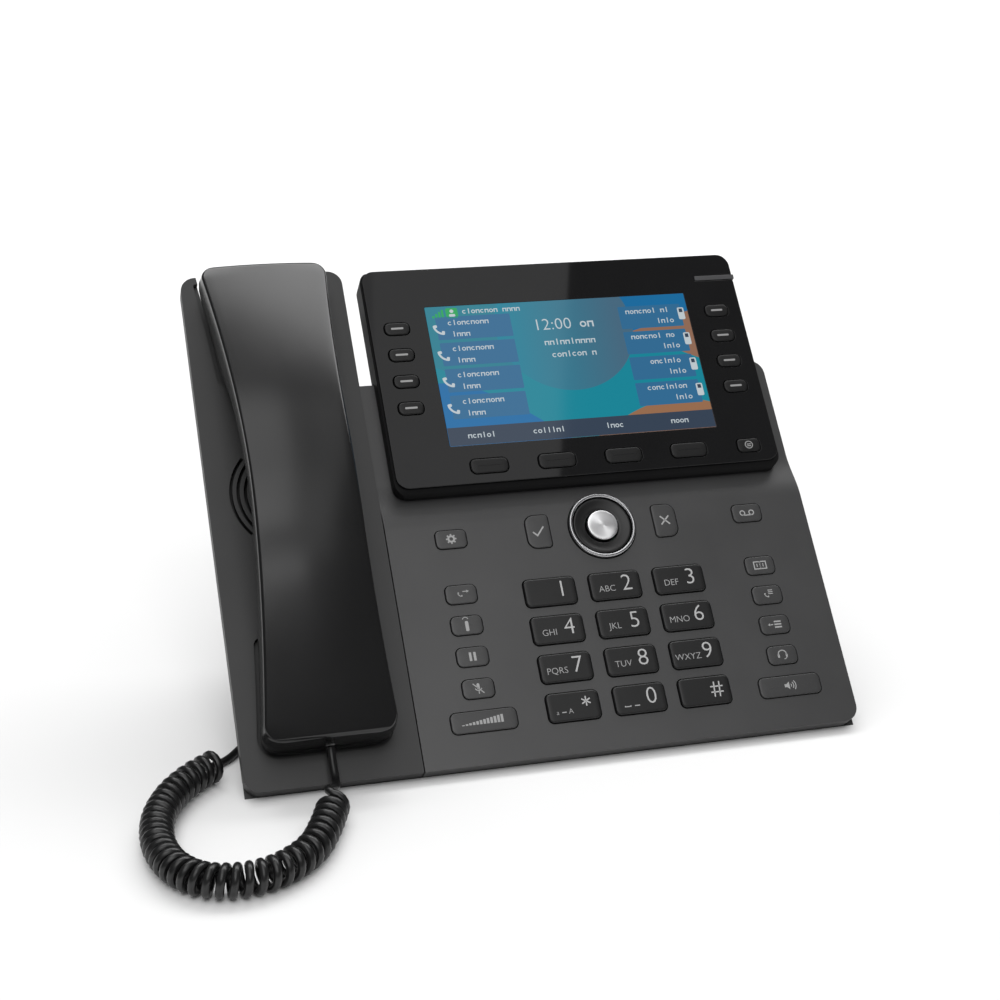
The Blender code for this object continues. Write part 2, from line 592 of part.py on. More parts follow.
def handset_stations():
    """Places along the handset, each with its scale for the rounded ends."""
    inner = [26, 36, 46, 53, 60, 67, 75, 86, 97, 107, 117, 128, 139, 146, 153, 160, 167, 176, 185, 192]
    ends = [(HANDSET_LOW, 0.88), (17.5 * MM, 0.98)]
    ends += [(v * MM, 1.0) for v in inner]
    return ends + [(201.5 * MM, 0.98), (HANDSET_HIGH, 0.86)]


SPLIT_DEPTH = 6.5 * MM
SEAM_GAP = 0.6 * MM


def shell(name, outlines, material):
    """Thicken a tub, given as open outlines along V, into a hollow shell with closed ends."""
    mesh_data = bmesh.new()
    rows = [[mesh_data.verts.new(point) for point in outline] for outline in outlines]
    for low, high in zip(rows, rows[1:]):
        for index in range(len(low) - 1):
            mesh_data.faces.new((low[index], low[index + 1], high[index + 1], high[index]))
    mesh_data.faces.new(rows[0][::-1])
    mesh_data.faces.new(rows[-1])
    piece = finish(name, mesh_data, PANEL, material, origin=(HANDSET_X, HANDSET_MID, 0))
    wall = piece.modifiers.new("wall", 'SOLIDIFY')
    wall.thickness = 2 * MM
    wall.offset = -1
    wall.use_even_offset = True
    return piece


def make_handset():
    outer, inner = [], []
    for v, scale in handset_stations():
        half = handset_half_width(v) * scale
        lean = (handset_half_width(v) - HANDSET_WAIST) / HANDSET_FLARE * HANDSET_LEAN
        drop = (1 - scale) * 14 * MM
        ridge = handset_ridge(v) - drop
        crown = ridge + 1.0 * MM
        split = handset_ridge(v) - SPLIT_DEPTH
        low = handset_underside(v)
        side = split - SEAM_GAP
        mid = low + 0.45 * (side - low)
        outer.append([(HANDSET_X + x, v, h) for x, h in (
            (half - 0.2 * MM, split), (half - lean, ridge - 0.8 * MM), (half - lean - 1 * MM, ridge),
            (half * 0.5, crown - 0.2 * MM), (0, crown), (-half * 0.5, crown - 0.2 * MM),
            (-half + lean + 1 * MM, ridge), (-half + lean, ridge - 0.8 * MM), (-half + 0.2 * MM, split))])
        edge = low + 0.7 * (side - low)
        inner.append([(HANDSET_X + x, v, h) for x, h in (
            (-half + 0.2 * MM, side), (-half + 0.2 * MM, edge), (-half + 1.2 * MM, mid),
            (-half + 5 * MM, low), (0, low), (half - 5 * MM, low), (half - 1.2 * MM, mid),
            (half - 0.2 * MM, edge), (half - 0.2 * MM, side))])
    shell("handset_outer_shell", outer, SATIN_BLACK)
    back = shell("handset_inner_shell", inner, SATIN_BLACK)
    opening = []
    for v in (HANDSET_LOW - 5 * MM, HANDSET_LOW + 6 * MM):
        opening.append([(HANDSET_X + x, v, PLUG_SOCKET_H + h) for x, h in
                        ((-4.2 * MM, -3 * MM), (4.2 * MM, -3 * MM), (4.2 * MM, 3 * MM), (-4.2 * MM, 3 * MM))])
    socket = loft("handset_socket_cutter", opening, None, hidden=True)
    combine(back, socket)


# ---------------------------------------------------------------- cord

def spline_through(points, spacing):
    """Evenly spaced points on a smooth curve through the given points."""
    points = [Vector(point) for point in points]
    padded = [2 * points[0] - points[1], *points, 2 * points[-1] - points[-2]]
    dense = []
    for index in range(len(points) - 1):
        a, b, c, d = padded[index:index + 4]
        for step in range(24):
            t = step / 24
            dense.append(0.5 * (2 * b + (c - a) * t + (2 * a - 5 * b + 4 * c - d) * t * t
                                + (3 * b - a - 3 * c + d) * t ** 3))
    dense.append(points[-1])
    lengths = [0.0]
    for start, end in zip(dense, dense[1:]):
        lengths.append(lengths[-1] + (end - start).length)
    count = max(2, round(lengths[-1] / spacing))
    result, cursor = [], 0
    for index in range(count + 1):
        target = lengths[-1] * index / count
        while cursor < len(lengths) - 2 and lengths[cursor + 1] < target:
            cursor += 1
        part = (target - lengths[cursor]) / max(lengths[cursor + 1] - lengths[cursor], 1e-12)
        result.append(dense[cursor].lerp(dense[cursor + 1], min(part, 1)))
    return result


def tube(name, points, diameter, spacing, resolution):
    curve = bpy.data.curves.new(name, 'CURVE')
    curve.dimensions = '3D'
    curve.bevel_depth = diameter / 2
    curve.bevel_resolution = resolution
    curve.use_fill_caps = True
    path = spline_through(points, spacing)
    spline = curve.splines.new('POLY')
    spline.points.add(len(path) - 1)
    for point, place in zip(spline.points, path):
        point.co = (*place, 1)
    piece = bpy.data.objects.new(name, curve)
    curve.materials.append(RUBBER)
    bpy.context.collection.objects.link(piece)
    return piece


COIL_HEIGHT = 6.25 * MM
END_GAP = 0.5 * MM
COIL_ROUTE = [(-90.2, -18.5), (-92.6, -25.2), (-96.0, -33.7), (-101.5, -44.7), (-109.5, -53.2),
              (-119.0, -58.5), (-129.5, -59.7), (-139.8, -56.1), (-147.0, -47.2), (-150.6, -34.7),
              (-150.8, -21.7), (-148.4, -9.2), (-142.8, 3.3), (-134.8, 13.8), (-126.0, 21.5)]


def on_desk(x, y, z):
    """A point in millimetres from the panel's lower front edge, in the world."""
    return (x * MM, y * MM - DEPTH_CENTRE, z * MM)


def make_cord():
    coil = [on_desk(x, y, COIL_HEIGHT / MM) for x, y in COIL_ROUTE]
    tube("cord_coil", coil, COIL_DIAMETER, 12 * MM, 3)
    exit_v = HANDSET_LOW - 0.9 * MM
    upper = [to_world(HANDSET_X, exit_v, PLUG_SOCKET_H), to_world(HANDSET_X, 4 * MM, 5 * MM)]
    start = Vector(coil[0])
    heading = (start - Vector(coil[1])).normalized()
    upper.append(to_world(HANDSET_X - 0.4 * MM, -5 * MM, 1.6 * MM))
    upper += [tuple(start + heading * 4 * MM), tuple(start + heading * END_GAP)]
    tube("cord_handset_tail", upper, WIRE_DIAMETER, 6 * MM, 2)
    end = Vector(coil[-1])
    heading = (end - Vector(coil[-2])).normalized()
    socket_x, socket_v = BASE_SOCKET
    plug_end = Vector(to_world(socket_x, socket_v, BACK - 7.4 * MM))
    outward = (plug_end - Vector(to_world(socket_x, socket_v, BACK))).normalized()
    lower = [tuple(end + heading * END_GAP), tuple(end + heading * 5 * MM), on_desk(-119.5, 34.3, 2.2),
             on_desk(-113, 43.3, 1.8), on_desk(-103.5, 55.3, 3),
             tuple(plug_end + outward * 5 * MM), tuple(plug_end + outward * END_GAP)]
    tube("cord_base_tail", lower, WIRE_DIAMETER, 6 * MM, 2)
    handset_plug = []
    section = box_outline(-3.8 * MM, 3.8 * MM, -2.6 * MM, 2.6 * MM)
    for v, scale in ((HANDSET_LOW - 0.5 * MM, 0.8), (HANDSET_LOW + 1 * MM, 1.0), (HANDSET_LOW + 9 * MM, 1.0)):
        ring = [(HANDSET_X + x * scale, v, PLUG_SOCKET_H + h * scale) for x, h in section]
        handset_plug.append(ring)
    loft("handset_plug", handset_plug, CLEAR, origin=(HANDSET_X, HANDSET_MID, 0))
    base_plug = []
    for h, scale in ((BACK - 7 * MM, 0.6), (BACK - 3 * MM, 1.0), (BACK + 8 * MM, 1.0)):
        half_x, half_v = 3.8 * MM * scale, 3.2 * MM * scale
        base_plug.append(at(box_outline(socket_x - half_x, socket_x + half_x,
                                        socket_v - half_v, socket_v + half_v), h))
    loft("base_plug", base_plug, CLEAR)


make_front_housing()
make_cradle()
make_rear_housing()
make_desk_stand()
make_inner_pieces()
make_display()
make_navigation()
make_panel_keys()
make_display_keys()
make_handset()
make_cord()
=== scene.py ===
"""Looks of the desk IP phone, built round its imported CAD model.

Panel coordinates are used for nearly every piece: x across, v up the sloping panel from its
lower front edge, h out of the panel, all in millimetres. PANEL turns them into the world.
"""

import math

import bmesh
import bpy
from mathutils import Matrix, Vector


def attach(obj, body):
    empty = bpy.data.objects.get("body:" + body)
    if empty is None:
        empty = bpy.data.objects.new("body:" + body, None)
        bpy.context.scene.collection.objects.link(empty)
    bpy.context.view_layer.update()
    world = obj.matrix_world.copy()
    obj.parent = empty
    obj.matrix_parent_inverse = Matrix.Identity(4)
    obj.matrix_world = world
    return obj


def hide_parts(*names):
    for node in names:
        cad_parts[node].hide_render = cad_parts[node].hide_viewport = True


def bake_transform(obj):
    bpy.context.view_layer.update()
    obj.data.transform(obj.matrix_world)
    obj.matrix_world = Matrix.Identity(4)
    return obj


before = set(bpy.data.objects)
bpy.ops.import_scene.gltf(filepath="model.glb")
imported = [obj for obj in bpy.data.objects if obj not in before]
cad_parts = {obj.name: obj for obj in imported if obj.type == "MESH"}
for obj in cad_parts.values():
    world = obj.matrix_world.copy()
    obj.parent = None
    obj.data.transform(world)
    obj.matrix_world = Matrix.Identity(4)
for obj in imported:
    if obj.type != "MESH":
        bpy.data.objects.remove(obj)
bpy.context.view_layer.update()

MM = 0.001
TILT = math.radians(47)
EDGE_HEIGHT = 4.6
DEPTH_CENTRE = 72.78
PANEL = (Matrix.Translation((0, -DEPTH_CENTRE * MM, EDGE_HEIGHT * MM))
         @ Matrix.Rotation(TILT, 4, 'X') @ Matrix.Scale(MM, 4))
BASE = Matrix.Translation((0, -DEPTH_CENTRE * MM, 0)) @ Matrix.Scale(MM, 4)

LEFT, RIGHT, SEAM = -118, 118, -53.4
CRADLE_X = -85.7
PANEL_X = 32.3
RIM, WALL, GAP, CORNER = 6.1, 2.4, 0.35, 6
CRADLE_LENGTH, PANEL_LENGTH = 210, 159
BACK, UPPER_BACK, UPPER_END = -24.5, -17, 195
NAV_V = 89.1
DISPLAY_BOTTOM, DISPLAY_TOP, DISPLAY_WIDTH = 107.3, 207, 159
LENS_FRONT = 4.3
SCREEN_V, SCREEN_WIDTH, SCREEN_HEIGHT = 157.3, 110.7, 62.3
SCREEN_GAP = 0.06
HANDSET_X = CRADLE_X - 1.1
HANDSET_LOW, HANDSET_HIGH, HANDSET_MID = 12.5, 206.5, 107
HANDSET_WAIST, HANDSET_FLARE, HANDSET_LEAN = 19.2, 6.6, 0.8
RIDGE_CREST, RIDGE_SLOPE, RIDGE_ROUND = 44.5, 0.30, 7.3
PAD_HEIGHT = -1.9


# ---------------------------------------------------------------- camera, light and floor

FLOOR_TONE = 0.68
ROOM_LIGHT, ROOM_REFLECTION = 0.6, 0.1
CAMERA_PLACE = (-0.1884, -0.6479, 0.3121)
CAMERA_TURN, CAMERA_DROP, CAMERA_ROLL = math.radians(15.75), math.radians(19.04), math.radians(0.46)


def make_camera():
    data = bpy.data.cameras.new("camera")
    data.lens = 65.9
    data.clip_start = 0.01
    camera = bpy.data.objects.new("camera", data)
    bpy.context.collection.objects.link(camera)
    turn = Matrix.Rotation(-CAMERA_TURN, 4, 'Z')
    drop = Matrix.Rotation(math.pi / 2 - CAMERA_DROP, 4, 'X')
    roll = Matrix.Rotation(CAMERA_ROLL, 4, 'Z')
    camera.matrix_world = Matrix.Translation(CAMERA_PLACE) @ turn @ drop @ roll
    bpy.context.scene.camera = camera


def ceiling_panel(name, middle, size, radiance, turn=0.0):
    """A softbox lying flat above the desk and facing down."""
    data = bpy.data.lights.new(name, 'AREA')
    data.shape = 'RECTANGLE'
    data.size, data.size_y = size
    data.energy = 4 * radiance * size[0] * size[1]
    light = bpy.data.objects.new(name, data)
    light.location = middle
    light.rotation_euler = (0, 0, math.radians(turn))
    bpy.context.collection.objects.link(light)
    return light


def make_stage():
    """A pale floor that fades to white in the distance."""
    reach = 6.0
    mesh_data = bmesh.new()
    corners = ((-1, -1), (1, -1), (1, 1), (-1, 1))
    mesh_data.faces.new([mesh_data.verts.new((x * reach, y * reach, 0)) for x, y in corners])
    mesh = bpy.data.meshes.new("floor")
    mesh_data.to_mesh(mesh)
    mesh_data.free()
    floor = bpy.data.objects.new("floor", mesh)
    bpy.context.collection.objects.link(floor)
    material, tree, shader = new_material("pale_floor")
    shader.inputs["Base Color"].default_value = (FLOOR_TONE, FLOOR_TONE, FLOOR_TONE, 1)
    shader.inputs["Roughness"].default_value = 0.9
    shader.inputs["Specular IOR Level"].default_value = 0.0
    shader.inputs["Emission Color"].default_value = (1, 1, 1, 1)
    place = add_node(tree, "ShaderNodeTexCoord").outputs["Object"]
    distance = add_node(tree, "ShaderNodeVectorMath", operation='LENGTH')
    tree.links.new(place, distance.inputs[0])
    fade = add_node(tree, "ShaderNodeMapRange", {"From Min": 0.45, "From Max": 2.2, "To Max": 0.9},
                    interpolation_type='SMOOTHSTEP')
    tree.links.new(distance.outputs["Value"], fade.inputs["Value"])
    tree.links.new(fade.outputs["Result"], shader.inputs["Emission Strength"])
    mesh.materials.append(material)


def make_lights():
    """An even white room, dim in reflections, and flat softboxes that draw the highlights.

    The front ones overlap, so their light fades towards the right and then ends at one edge.
    """
    bpy.context.scene.view_settings.view_transform = 'Standard'
    world = bpy.data.worlds.new("studio")
    bpy.context.scene.world = world
    world.use_nodes = True
    tree = world.node_tree
    background = tree.nodes["Background"]
    path = tree.nodes.new("ShaderNodeLightPath")
    level = tree.nodes.new("ShaderNodeMapRange")
    level.inputs["To Min"].default_value = ROOM_LIGHT
    level.inputs["To Max"].default_value = ROOM_REFLECTION
    tree.links.new(path.outputs["Is Glossy Ray"], level.inputs["Value"])
    tree.links.new(level.outputs["Result"], background.inputs["Strength"])
    background.inputs["Color"].default_value = (1, 1, 1, 1)
    ceiling_panel("rear_softbox", (0.67, 0.99, 2.0), (2.96, 1.11), 3.2, -8)
    for name, left, right, low, high, radiance in (
            ("front_left", -1.5, 0.2, -2.6, 0.3, 1.2), ("front_middle", -1.5, 0.45, -3.0, 0.3, 0.35),
            ("front_right", -1.5, 0.81, -3.2, 0.3, 0.5), ("front_far", -1.3, 0.4, -3.4, -1.5, 3.6)):
        ceiling_panel(name, ((left + right) / 2, (low + high) / 2, 2.5), (right - left, high - low), radiance)


def light_the_panel():
    """A softbox flagged off everything but the key panel, for the sheen on its lower half."""
    lit = bpy.data.collections.new("key_panel_only")
    lit.objects.link(bpy.data.objects["front_panel"])
    light = ceiling_panel("panel_sheen", (0.25, -2.6, 2.5), (1.1, 1.2), 2.8)
    light.light_linking.receiver_collection = lit
    light.light_linking.blocker_collection = lit


# ---------------------------------------------------------------- materials

GRAIN = 0.22
SOFT_EDGE = 0.15


def new_material(name):
    material = bpy.data.materials.new(name)
    material.use_nodes = True
    tree = material.node_tree
    return material, tree, tree.nodes["Principled BSDF"]


def add_node(tree, kind, inputs=None, **settings):
    node = tree.nodes.new(kind)
    for key, value in settings.items():
        setattr(node, key, value)
    for key, value in (inputs or {}).items():
        node.inputs[key].default_value = value
    return node


def spread(tree, source, low, high):
    """A noise value stretched from its usual range to low..high."""
    node = add_node(tree, "ShaderNodeMapRange",
                    {"From Min": 0.3, "From Max": 0.7, "To Min": low, "To Max": high})
    tree.links.new(source, node.inputs["Value"])
    return node.outputs["Result"]


def finish(name, colour, roughness, depth=0.004, drift=0.06, metallic=0.0, coat=0.0, specular=0.5):
    """Moulded plastic: a fine spark-eroded grain, with a slow drift of tone and gloss over it."""
    material, tree, shader = new_material(name)
    place = add_node(tree, "ShaderNodeTexCoord").outputs["Object"]
    clouds = add_node(tree, "ShaderNodeTexNoise", {"Scale": 35.0, "Detail": 4.0})
    tree.links.new(place, clouds.inputs["Vector"])
    ramp = add_node(tree, "ShaderNodeMix", data_type='RGBA')
    tone = [[channel * (1 + side * drift) for channel in colour] + [1] for side in (-1, 1)]
    ramp.inputs[6].default_value, ramp.inputs[7].default_value = tone
    tree.links.new(spread(tree, clouds.outputs[0], 0, 1), ramp.inputs[0])
    tree.links.new(ramp.outputs[2], shader.inputs["Base Color"])
    fine = add_node(tree, "ShaderNodeTexNoise", {"Scale": 1 / (GRAIN * MM), "Detail": 2.0})
    tree.links.new(place, fine.inputs["Vector"])
    gloss = spread(tree, clouds.outputs[0], roughness * (1 - drift), roughness * (1 + drift))
    tree.links.new(gloss, shader.inputs["Roughness"])
    bump = add_node(tree, "ShaderNodeBump", {"Strength": 0.5, "Distance": depth * MM})
    tree.links.new(fine.outputs[0], bump.inputs["Height"])
    tree.links.new(bump.outputs["Normal"], shader.inputs["Normal"])
    shader.inputs["Metallic"].default_value = metallic
    shader.inputs["Specular IOR Level"].default_value = specular
    if coat:
        shader.inputs["Coat Weight"].default_value = coat
        shader.inputs["Coat Roughness"].default_value = 0.03
    return material


def glowing(name, colour):
    """Lit print on the screen: it glows, with the lens's gloss over it."""
    material, _, shader = new_material(name)
    shader.inputs["Base Color"].default_value = (0, 0, 0, 1)
    shader.inputs["Emission Color"].default_value = (*colour, 1)
    shader.inputs["Emission Strength"].default_value = 1.0
    shader.inputs["Roughness"].default_value = 0.06
    return material


def screen_material():
    """An abstract landscape: sky, a large disc, sea and warm hills, in panel millimetres."""
    material, tree, shader = new_material("screen_picture")
    place = add_node(tree, "ShaderNodeTexCoord").outputs["Object"]
    local = add_node(tree, "ShaderNodeMapping", {"Location": (0, -DEPTH_CENTRE * MM, EDGE_HEIGHT * MM),
                                                 "Rotation": (TILT, 0, 0), "Scale": (MM, MM, MM)},
                     vector_type='TEXTURE')
    tree.links.new(place, local.inputs["Vector"])
    split = add_node(tree, "ShaderNodeSeparateXYZ")
    tree.links.new(local.outputs["Vector"], split.inputs["Vector"])
    across, up = split.outputs["X"], split.outputs["Y"]

    def do(operation, first, second=0):
        node = add_node(tree, "ShaderNodeMath", operation=operation)
        for socket, value in zip(node.inputs, (first, second)):
            if isinstance(value, (int, float)):
                socket.default_value = value
            else:
                tree.links.new(value, socket)
        return node.outputs[0]

    def blend(mask, below, above):
        mix = add_node(tree, "ShaderNodeMix", data_type='RGBA')
        for socket, value in ((mix.inputs[0], mask), (mix.inputs[6], below), (mix.inputs[7], above)):
            if isinstance(value, tuple):
                socket.default_value = (*value, 1)
            else:
                tree.links.new(value, socket)
        return mix.outputs[2]

    def ramp(value, low, high):
        node = add_node(tree, "ShaderNodeMapRange", {"From Min": low, "From Max": high}, clamp=True)
        tree.links.new(value, node.inputs["Value"])
        return node.outputs["Result"]

    def under(level, height, wave, phase):
        """1 below a wavy line at a height."""
        swing = do('SINE', do('ADD', do('MULTIPLY', across, wave), phase))
        line = do('ADD', do('MULTIPLY', swing, height), level)
        return ramp(do('SUBTRACT', line, up), -SOFT_EDGE, SOFT_EDGE)

    def disc(x, v, radius):
        squares = [do('POWER', do('SUBTRACT', place, middle), 2) for place, middle in ((across, x), (up, v))]
        return ramp(do('SUBTRACT', radius, do('SQRT', do('ADD', *squares))), -SOFT_EDGE, SOFT_EDGE)

    middle = PANEL_X
    east = ramp(across, middle + 12, middle + 30)
    sky = blend(ramp(across, middle - 30, middle + 28), (0.02, 0.20, 0.27), (0.009, 0.14, 0.33))
    dusk = blend(do('MULTIPLY', under(176, 5, 0.07, 1.1), east), sky, (0.27, 0.14, 0.09))
    sea = blend(under(163, 9, 0.06, 4.75), dusk, (0.008, 0.225, 0.30))
    moon_tone = blend(ramp(across, middle - 26, middle + 24), (0.010, 0.215, 0.31), (0.060, 0.135, 0.205))
    moon = blend(disc(middle + 1, 176, 29), sea, moon_tone)
    left = blend(under(130, 24, 0.034, 2.4), moon, (0.010, 0.145, 0.36))
    warm = blend(under(124, 16, 0.040, 4.9), left, (0.30, 0.145, 0.075))
    tree.links.new(warm, shader.inputs["Emission Color"])
    shader.inputs["Emission Strength"].default_value = 1.0
    shader.inputs["Base Color"].default_value = (0, 0, 0, 1)
    shader.inputs["Roughness"].default_value = 0.06
    return material


def brushed_metal():
    """Turned aluminium: the stretched highlight runs across rings about the knob's centre."""
    material, tree, shader = new_material("turned_knob")
    shader.inputs["Base Color"].default_value = (0.78, 0.78, 0.79, 1)
    shader.inputs["Metallic"].default_value = 1.0
    shader.inputs["Roughness"].default_value = 0.32
    shader.inputs["Anisotropic"].default_value = 0.85
    tangent = add_node(tree, "ShaderNodeTangent", direction_type='RADIAL', axis='Z')
    tree.links.new(tangent.outputs[0], shader.inputs["Tangent"])
    place = add_node(tree, "ShaderNodeTexCoord").outputs["Object"]
    rings = add_node(tree, "ShaderNodeTexWave", {"Scale": 1500.0, "Distortion": 1.5},
                     wave_type='RINGS', rings_direction='Z')
    tree.links.new(place, rings.inputs["Vector"])
    bump = add_node(tree, "ShaderNodeBump", {"Strength": 0.2, "Distance": 0.002 * MM})
    tree.links.new(rings.outputs[1], bump.inputs["Height"])
    tree.links.new(bump.outputs["Normal"], shader.inputs["Normal"])
    return material


def make_materials():
    return {
        "grey_satin": finish("body_grey", (0.026, 0.026, 0.0265), 0.38),
        "cradle_matte": finish("cradle_grey", (0.012, 0.012, 0.0122), 0.5, depth=0.006),
        "black_matte": finish("back_black", (0.010, 0.010, 0.0103), 0.5, depth=0.01),
        "handset_satin": finish("handset_black", (0.006, 0.006, 0.0062), 0.18, depth=0.002),
        "display_side": finish("display_side_black", (0.006, 0.006, 0.0062), 0.5, depth=0.004, specular=0.05),
        "gloss_black": finish("display_key_black", (0.006, 0.006, 0.0062), 0.38, depth=0.001, specular=0.25),
        "dial_key_black": finish("dial_key_black", (0.006, 0.006, 0.0062), 0.36, specular=0.38),
        "function_key_grey": finish("function_key_grey", (0.027, 0.027, 0.0275), 0.38),
        "smoked_lens": finish("lens_black", (0.005, 0.005, 0.0053), 0.03, depth=0.0001, drift=0.1),
        "silver_trim": finish("silver_ring", (0.42, 0.42, 0.43), 0.24, metallic=1.0, depth=0.001),
        "message_light": finish("light_pipe", (0.05, 0.05, 0.052), 0.2, coat=0.5),
        "circuit_board": finish("board_green", (0.01, 0.12, 0.05), 0.4),
        "speaker_steel": finish("speaker_steel", (0.35, 0.35, 0.36), 0.4, metallic=1.0),
        "cord_rubber": finish("cord_black", (0.006, 0.006, 0.0062), 0.3, depth=0.002),
        "clear_plug": finish("plug_smoke", (0.012, 0.012, 0.012), 0.2, coat=0.6, depth=0.001),
        "ink": finish("pale_ink", (0.32, 0.32, 0.32), 0.6, depth=0.001, drift=0.03),
        "dim_ink": finish("grey_ink", (0.25, 0.25, 0.25), 0.6, depth=0.001, drift=0.03),
        "gold": finish("contact_gold", (0.8, 0.55, 0.2), 0.25, metallic=1.0, depth=0.001),
        "dark": finish("inner_dark", (0.004, 0.004, 0.004), 0.7),
        "knob": brushed_metal(),
        "screen": screen_material(),
        "label": glowing("label_box", (0.03, 0.14, 0.28)),
        "bar": glowing("soft_bar", (0.035, 0.053, 0.085)),
        "words": glowing("screen_words", (0.5, 0.56, 0.59)),
        "green": glowing("status_green", (0.02, 0.35, 0.10)),
        "lit": glowing("key_mark", (0.30, 0.30, 0.30)),
    }


# ---------------------------------------------------------------- mesh helpers

def add_loft(mesh_data, rings):
    """Skin rings of equal length and close both ends."""
    loops = [[mesh_data.verts.new(point) for point in ring] for ring in rings]
    count = len(loops[0])
    for low, high in zip(loops, loops[1:]):
        for index in range(count):
            after = (index + 1) % count
            mesh_data.faces.new((low[index], low[after], high[after], high[index]))
    mesh_data.faces.new(loops[0][::-1])
    mesh_data.faces.new(loops[-1])


def lofted(*lofts):
    mesh_data = bmesh.new()
    for rings in lofts:
        add_loft(mesh_data, rings)
    return mesh_data


def at(outline, height):
    return [(x, v, height) for x, v in outline]


def four(radii):
    """One radius, or four of them, as four."""
    return radii if isinstance(radii, tuple) else (radii,) * 4


def rounded(x, v, width, height, radii, steps=6):
    """Rectangle outline with its own radius at each corner: right top, left top, left low, right low."""
    radii = four(radii)
    points = []
    for quarter, ((sx, sv), radius) in enumerate(zip(((1, 1), (-1, 1), (-1, -1), (1, -1)), radii)):
        for step in range(steps + 1):
            angle = math.radians(90 * (quarter + step / steps))
            points.append((x + sx * (width / 2 - radius) + radius * math.cos(angle),
                           v + sv * (height / 2 - radius) + radius * math.sin(angle)))
    return points


def box_outline(x_low, x_high, v_low, v_high):
    return [(x_low, v_low), (x_high, v_low), (x_high, v_high), (x_low, v_high)]


def circle(x, v, radius, count=96):
    angles = [math.tau * index / count for index in range(count)]
    return [(x + radius * math.cos(angle), v + radius * math.sin(angle)) for angle in angles]


def prism(outline, low, high):
    return [at(outline, low), at(outline, high)]


def across(profile, x_low, x_high):
    """Rings for a solid with a constant side profile, given as (v, h) points."""
    return [[(x, v, h) for v, h in profile] for x in (x_low, x_high)]


def temporary(mesh_data):
    bmesh.ops.recalc_face_normals(mesh_data, faces=mesh_data.faces)
    mesh = bpy.data.meshes.new("temporary")
    mesh_data.to_mesh(mesh)
    mesh_data.free()
    item = bpy.data.objects.new("temporary", mesh)
    bpy.context.collection.objects.link(item)
    return item


def carve(mesh_data, tool_data, operation='DIFFERENCE'):
    """The Boolean of two bmeshes, as a new bmesh. Both are used up."""
    target, tool = temporary(mesh_data), temporary(tool_data)
    change = target.modifiers.new("cut", 'BOOLEAN')
    change.operation = operation
    change.solver = 'EXACT'
    change.object = tool
    bpy.context.view_layer.update()
    result = bmesh.new()
    result.from_mesh(target.evaluated_get(bpy.context.evaluated_depsgraph_get()).to_mesh())
    for item in (target, tool):
        bpy.data.objects.remove(item, do_unlink=True)
    return result


def make_piece(name, mesh_data, material, body, replaces=(), place=PANEL, bevel=0.0,
               angle=30, local=False):
    """Link a bmesh as one piece. Its bevel is in millimetres; local keeps it in its own axes."""
    bmesh.ops.remove_doubles(mesh_data, verts=mesh_data.verts, dist=0.0005)
    bmesh.ops.recalc_face_normals(mesh_data, faces=mesh_data.faces)
    mesh_data.transform(Matrix.Scale(MM, 4) if local else place)
    mesh = bpy.data.meshes.new(name)
    mesh_data.to_mesh(mesh)
    mesh_data.free()
    piece = bpy.data.objects.new(name, mesh)
    bpy.context.collection.objects.link(piece)
    if local:
        piece.matrix_world = place @ Matrix.Scale(1 / MM, 4)
    mesh.materials.append(MATERIALS[material])
    mesh.shade_smooth()
    if bevel:
        change = piece.modifiers.new("edges", 'BEVEL')
        change.width = bevel * MM
        change.segments = 2
        change.limit_method = 'ANGLE'
        change.angle_limit = math.radians(angle)
        change.miter_outer = 'MITER_ARC'
        weigh = piece.modifiers.new("normals", 'WEIGHTED_NORMAL')
        weigh.keep_sharp = True
    else:
        mesh.set_sharp_from_angle(angle=math.radians(angle))
    if replaces:
        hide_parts(*replaces)
    if body:
        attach(piece, body)
    return piece


# ---------------------------------------------------------------- print on keys and screen

INK_DEPTH = 0.03


